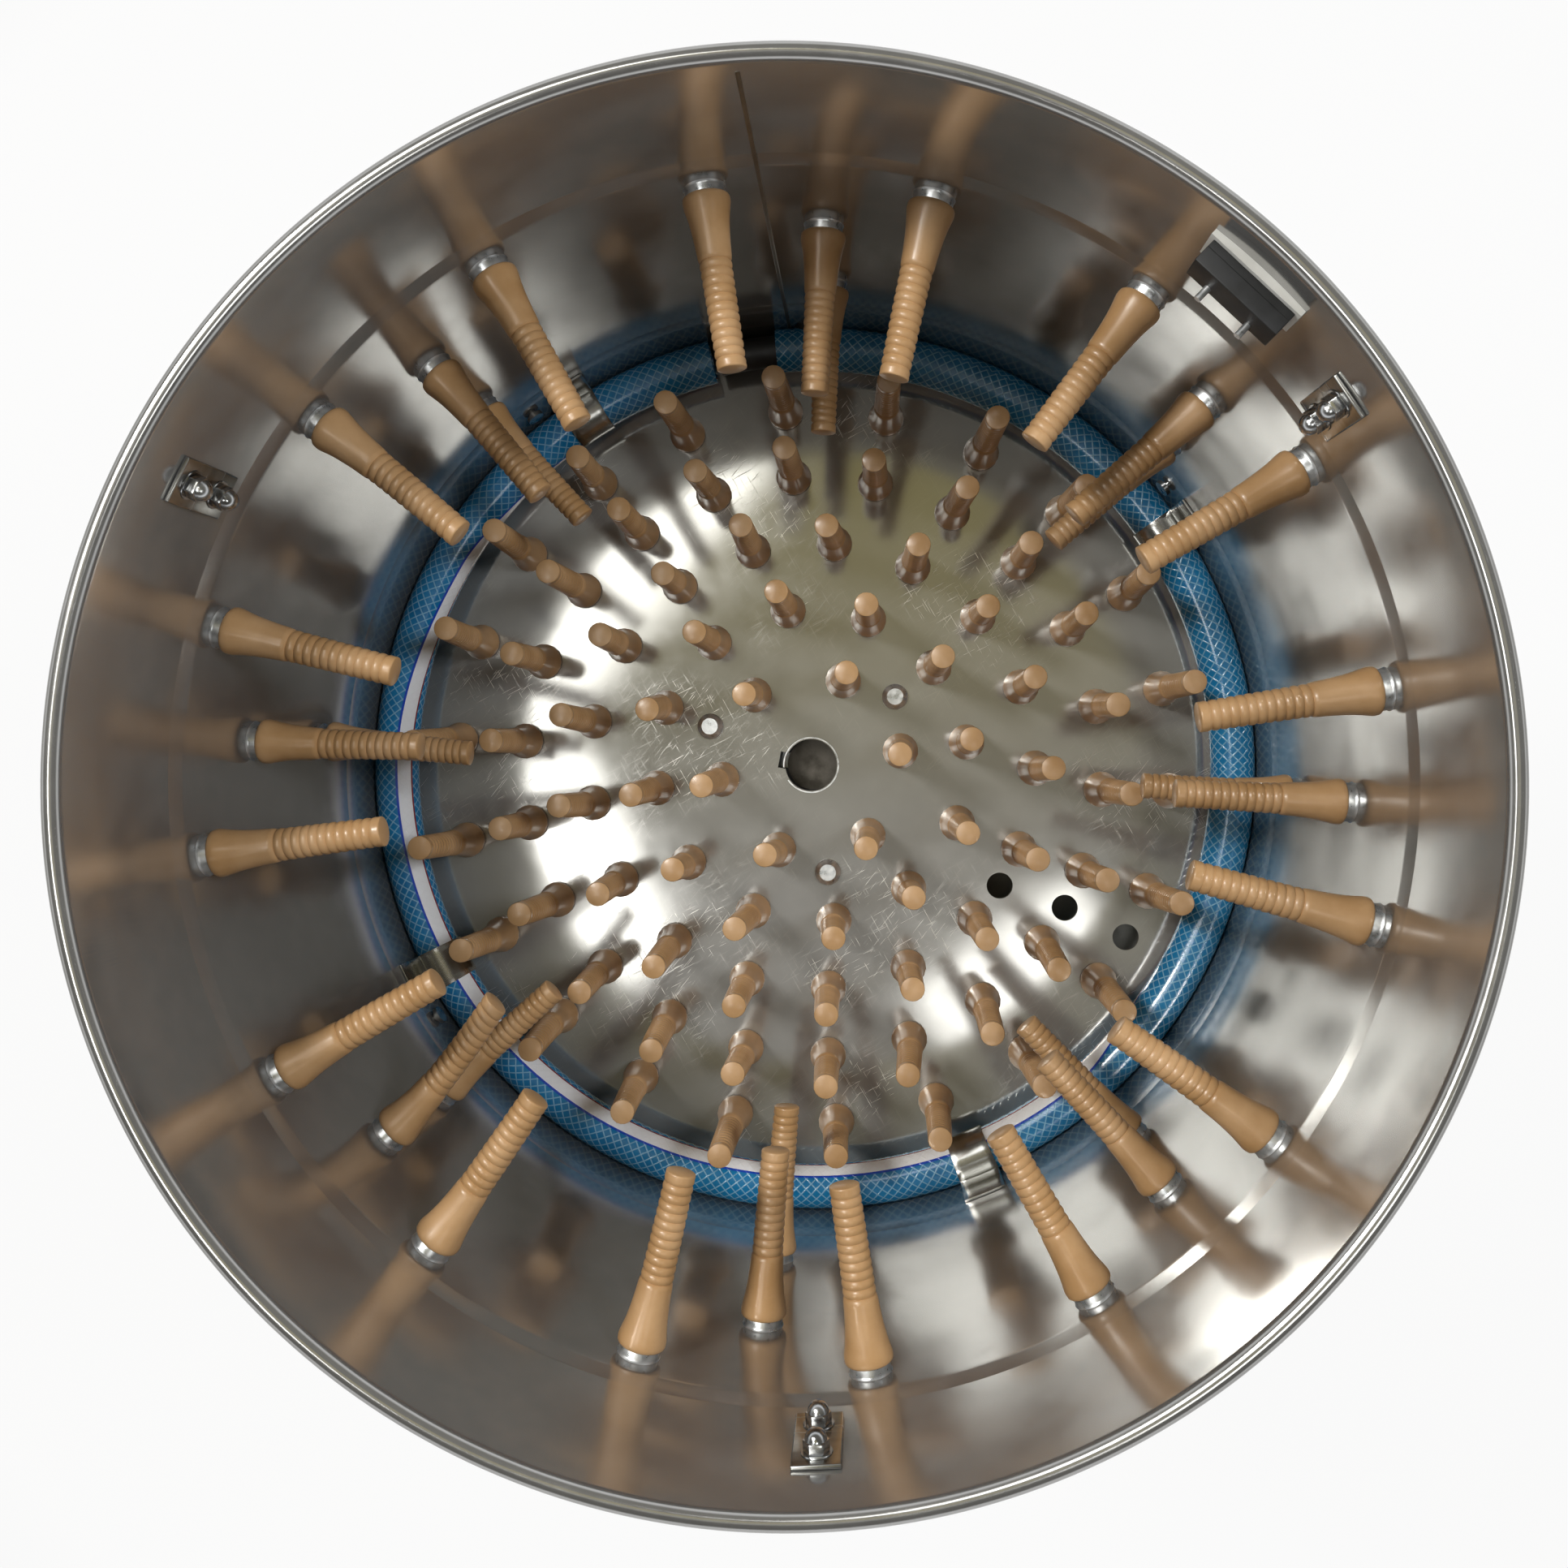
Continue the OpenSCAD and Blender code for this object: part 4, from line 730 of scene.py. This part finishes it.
def map_hose(mesh):
    """Lays the hose's map: along it round the drum, and round it from the stripe."""
    layer = mesh.uv_layers.new(name="along_and_round")
    for face in mesh.polygons:
        spots = [mesh.vertices[k].co / MM for k in face.vertices]
        angles = [(math.degrees(math.atan2(p.y, p.x)),
                   math.degrees(math.atan2(p.z - HOSE_Z, math.hypot(p.x, p.y) - HOSE_RC))) for p in spots]
        mid_a = angles[0][0] % 360
        mid_b = near(angles[0][1], stripe_turn(mid_a))
        for loop, (a, b) in zip(face.loop_indices, angles):
            a = near(a, mid_a)
            b = near(b, mid_b) - stripe_turn(a)
            layer.data[loop].uv = (math.radians(a) * HOSE_RC * MM, math.radians(b) * HOSE_R * MM)


hose = turned(arc(HOSE_RC, HOSE_Z, HOSE_R, 0, 360, 37), HOSE_SWEEP, HOSE_START, HOSE_SWEEP)
map_hose(hose.data)
keep(hose, "braided_hose", "base", "blue_hose", "hose_ring", sharp=60)


def strap():
    """Bent strip over the hose, with its leg up the wall."""
    leg_r = DRUM_R - 0.75
    round_r = HOSE_R + 0.75
    top = math.degrees(math.acos((leg_r - HOSE_RC) / round_r))
    leg = [(leg_r, STRAP_Z1), (leg_r, HOSE_Z + round_r + 2)]
    line = leg + arc(HOSE_RC, HOSE_Z, round_r, top + 24, 196, 16)
    strip = turned(line, 6, -STRAP_HALF_DEG, 2 * STRAP_HALF_DEG)
    thicken(strip, STRAP_SHEET, 0)
    edge = strip.modifiers.new("edge", "BEVEL")
    edge.width = 0.25 * MM
    edge.segments = 2
    bpy.ops.object.modifier_apply(modifier=edge.name)
    return strip


keep(copies(strap(), [spun_at(a) for a in STRAP_DEGS]), "hose_straps", "base", "stainless", "hose_clips")


# Wall brackets, lid switch, plate bolts and hub

backing = bevelled((-21, -10, 0), (21, 10, BRACKET_SHEET), 0.7)
bracket_places = [on_wall(a, BRACKET_Z, BRACKET_FACE + BRACKET_SHEET) for a in BRACKET_DEGS]
keep(copies(backing, bracket_places), "bracket_backings", "base", "stainless", "bracket_plates")
dome = joined(
    hexagon(5.5, 0.6, 5.0, 0.4),
    turned([(0, 9.55), (1.6, 9.3), (3.0, 8.4), (4.0, 7.1), (4.5, 5.6), (4.55, 4.6), (0, 4.6)], 24),
    turned([(0, 0), (6.3, 0), (6.5, 0.3), (6.3, 0.6), (0, 0.6)], 28),
)
nut_places = [on_wall(a, BRACKET_Z + side, BRACKET_FACE) for a in BRACKET_DEGS for side in NUT_OFFSETS]
keep(copies(dome, nut_places), "dome_nuts", "base", "zinc_steel", "cap_nuts",
     finish=finish_of["bearing_steel"])

parting = bevelled((7.2, -30, 3.4), (15, 30, 3.8), 0.05, 1)
switch = cut(bevelled((-7.5, -21, 0), (7.5, 21, 10.5), 0.5), parting)
keep(copies(switch, [on_wall(SWITCH_DEG, SWITCH_Z, SWITCH_R)]), "lid_switch_block", "base",
     "black_plastic", "lid_switch")

bolt = joined(
    turned([(0, 5.5), (5.0, 5.5), (5.6, 5.1), (7.5, 2.6), (8, 1.9), (8, 0), (0, 0)], 32),
    turned([(0, 0), (5, 0), (5, -22), (0, -22)], 20),
    hexagon(9, -20, -12, 0.6),
)
bolt_places = [spun_at(PLATE_BOLT_DEG + 120 * k, PLATE_BOLT_R, PLATE_Z) for k in range(3)]
keep(copies(bolt, bolt_places), "plate_bolt_heads", "turntable", "zinc_steel", "plate_bolts",
     finish=bright_zinc)
# Bright edge of the hub's bore, open where its keyway is
hub_edge = turned([
    (BORE_R, PLATE_Z - 1), (BORE_R, PLATE_Z - 0.3), (BORE_R + 0.5, PLATE_Z + 0.15),
    (BORE_R + 1.2, PLATE_Z + 0.15), (BORE_R + 1.4, PLATE_Z - 0.1), (BORE_R + 1.4, PLATE_Z - 1),
    (BORE_R, PLATE_Z - 1),
], 60, start=185, sweep=332)
keep(hub_edge, "hub_bore_edge", "turntable", "stainless", finish=bright_zinc)


# Skirt and its bolts

def skirt():
    """Round sheet wall with the opening for the chute."""
    shell = turned([(SKIRT_R, z) for z in (SKIRT_Z0, OUTLET_Z0, OUTLET_Z1, SKIRT_Z1)], 360)
    edit("DESELECT")
    bpy.ops.mesh.select_mode(type="FACE")
    bpy.ops.object.mode_set(mode="OBJECT")
    for face in shell.data.polygons:
        mid = face.center / MM
        off = abs(math.degrees(math.atan2(mid.x, -mid.y)))
        face.select = OUTLET_Z0 < mid.z < OUTLET_Z1 and off < OUTLET_HALF_DEG
    bpy.ops.object.mode_set(mode="EDIT")
    bpy.ops.mesh.delete(type="FACE")
    bpy.ops.object.mode_set(mode="OBJECT")
    thicken(shell, SHEET, -1)
    return shell


keep(skirt(), "skirt_wall", "base", "stainless", "base_shell")


def through_bolt(stack):
    """Hexagon bolt on a washer, through a stack of sheets to its nut."""
    head_r = 7.5
    head_h = 5.5
    shank_r = 4
    washer = 0.9
    return joined(
        hexagon(head_r, washer, head_h, 0.45),
        turned([(0, 0), (head_r + 0.4, 0), (head_r + 0.6, 0.4), (head_r + 0.4, washer), (0, washer)], 28),
        turned([(0, 1), (shank_r, 1), (shank_r, -stack - 7), (0, -stack - 7)], 18),
        hexagon(head_r, -stack - 5.5, -stack - 0.2, 0.45),
    )


drum_bolt_places = [out_wall(a, DRUM_BOLT_Z, SKIRT_R) for a in SKIRT_BOLT_DEGS]
keep(copies(through_bolt(stack=3.5), drum_bolt_places), "drum_bolts", "base", "zinc_steel", "shell_bolts")
base_bolt_places = [out_wall(a, BASE_BOLT_Z, SKIRT_R) for a in SKIRT_BOLT_DEGS]
keep(copies(through_bolt(stack=5.7), base_bolt_places), "base_bolts", "base", "zinc_steel", "shell_bolts")
lug_bolt = joined(hexagon(5.5, 0, 4, 0.35), turned([(0, 0), (3, 0), (3, -13.8), (0, -13.8)], 18))
lug_places = [out_wall(a, BRACKET_Z + side, LUG_R) for a in BRACKET_DEGS for side in NUT_OFFSETS]
keep(copies(lug_bolt, lug_places), "lug_bolt_heads", "base", "zinc_steel", "lug_bolts")


# Controls

def at_cover(x, z):
    """Place on the front of the control box, with +Z outwards."""
    return moved(x, COVER_Y1, z) @ Matrix.Rotation(math.radians(-90), 4, "X")


def skirt_tool():
    """Round bar that cuts a piece to the skirt's outside."""
    r = SKIRT_R + 0.2
    z0 = BOX_Z0 - 40
    z1 = BOX_Z1 + 20
    return turned([(0, z0), (r, z0), (r, z1), (0, z1)], 180)


box = cut(bevelled((-BOX_HALF, BOX_Y0, BOX_Z0), (BOX_HALF, BOX_Y1 - 0.5, BOX_Z1), 3.0), skirt_tool())
keep(box, "switch_box", "base", "grey_paint", "control_box")
cover = bevelled((-BOX_HALF, BOX_Y1, BOX_Z0), (BOX_HALF, COVER_Y1, BOX_Z1), 1.3)
keep(cover, "switch_box_cover", "base", "grey_paint", "control_cover")
screw_slot = bevelled((-4, -0.4, 1.1), (4, 0.4, 3), 0.05, 1)
screw = cut(turned([(0, 2), (1.4, 1.95), (2.6, 1.5), (3.3, 0.8), (3.5, 0), (0, 0)], 24), screw_slot)
screw_x = BOX_HALF - SCREW_INSET
screw_places = [
    at_cover(x, z) for x in (-screw_x, screw_x) for z in (BOX_Z0 + SCREW_INSET, BOX_Z1 - SCREW_INSET)
]
keep(copies(screw, screw_places), "cover_screw_heads", "base", "zinc_steel", "cover_screws")
start = turned([
    (0, -23), (8, -23), (8, 5), (11.4, 5), (12, 5.6), (12, 11.7), (11.4, 12.7), (10.4, 13),
    (9.2, 12.5), (0, 12.2),
], 40)
keep(copies(start, [at_cover(0, START_Z)]), "start_cap", "start", "green_plastic", "start_button")
stop = turned([
    (0, -23), (8, -23), (8, 11), (18.7, 14.3), (20, 15.4), (20, 18.2), (19, 20.6), (15.8, 22.9),
    (10, 23.8), (0, 24),
], 48)
keep(copies(stop, [at_cover(0, STOP_Z)]), "stop_mushroom", "stop", "red_plastic", "stop_button")
bezel = turned([
    (12.7, 0), (15.8, 0), (15.8, 5.4), (15.1, 6.5), (13.4, 6.5), (12.7, 5.8), (12.7, 0),
], 40)
keep(copies(bezel, [at_cover(0, START_Z)]), "start_bezel", "base", "black_plastic")
guard = turned([(8.7, 0), (15.8, 0), (15.8, 2), (14.4, 4.5), (9.3, 5), (8.7, 4.6), (8.7, 0)], 40)
keep(copies(guard, [at_cover(0, STOP_Z)]), "stop_collar", "base", "black_plastic")
gland = joined(
    hexagon(12, 0.2, 7, 0.8),
    turned([
        (4.5, 20), (6.6, 20), (7.7, 19), (8, 17.4), (8, 12.3), (10.3, 11.8), (10.9, 10.8), (10.9, 7),
        (4.5, 7), (4.5, 20),
    ], 36),
)
gland_place = moved(0, GLAND_Y, BOX_Z0) @ Matrix.Rotation(math.pi, 4, "X")
keep(copies(gland, [gland_place]), "lead_gland", "base", "black_plastic", "cable_gland")


# Feet and wheels

pad = turned([
    (0, 0), (25.4, 0), (26.6, 0.6), (27, 1.8), (27, 6), (26.2, 6.8), (26.2, 7.8), (27, 8.6), (27, 11.6),
    (26.2, 12.4), (26.2, 13.4), (27, 14.2), (27, 17.6), (26.1, 19.4), (24.4, 20), (19.3, 20), (19.3, 8),
    (0, 8),
], 48)
pad_places = [moved(x, -WHEEL_Y, 0) for x in (-WHEEL_X, WHEEL_X)]
keep(copies(pad, pad_places), "rubber_foot_pads", "base", "black_rubber", "foot_pads")
half_tread = [
    (37.1, 0), (37.5, 0.6), (37.5, 3.2), (36.6, 3.8), (36.6, 4.6), (37.4, 5.2), (37.1, 8.2), (35.8, 10.8),
    (33.4, 12), (29.4, 11.6), (28.6, 10.6),
]
tread = [(r, -z) for r, z in half_tread[:0:-1]] + half_tread
half_hub = [
    (28.5, 7), (26.6, 6.6), (25, 4.6), (14, 4.4), (11.6, 6), (11, 8), (11, 14.2), (10.2, 15), (5.1, 15),
]
hub = [(r, -z) for r, z in half_hub[::-1]] + half_hub
for side, x in (("left", -WHEEL_X), ("right", WHEEL_X)):
    body = side + "_wheel"
    node = "wheel_" + side
    axle = [moved(x, WHEEL_Y, WHEEL_Z) @ Matrix.Rotation(math.radians(90), 4, "Y")]
    keep(copies(turned(tread + tread[:1], 72), axle), "tyre_" + side, body, "wheel_rubber", node)
    keep(copies(turned(hub + hub[:1], 48), axle), "wheel_hub_" + side, body, "wheel_rubber", node,
         finish=finish_of["black_plastic"])


# CAD nodes take the finish of their slot, and three of them one of their own
for name, node in nodes.items():
    node.data.materials.clear()
    node.data.materials.append(finish_of[slot_of[name]])
own_finishes = {"feather_plate": plate_steel, "main_shaft": oiled_steel, "lid_switch_screws": bright_zinc}
for name, finish in own_finishes.items():
    nodes[name].data.materials[0] = finish

add_floor()
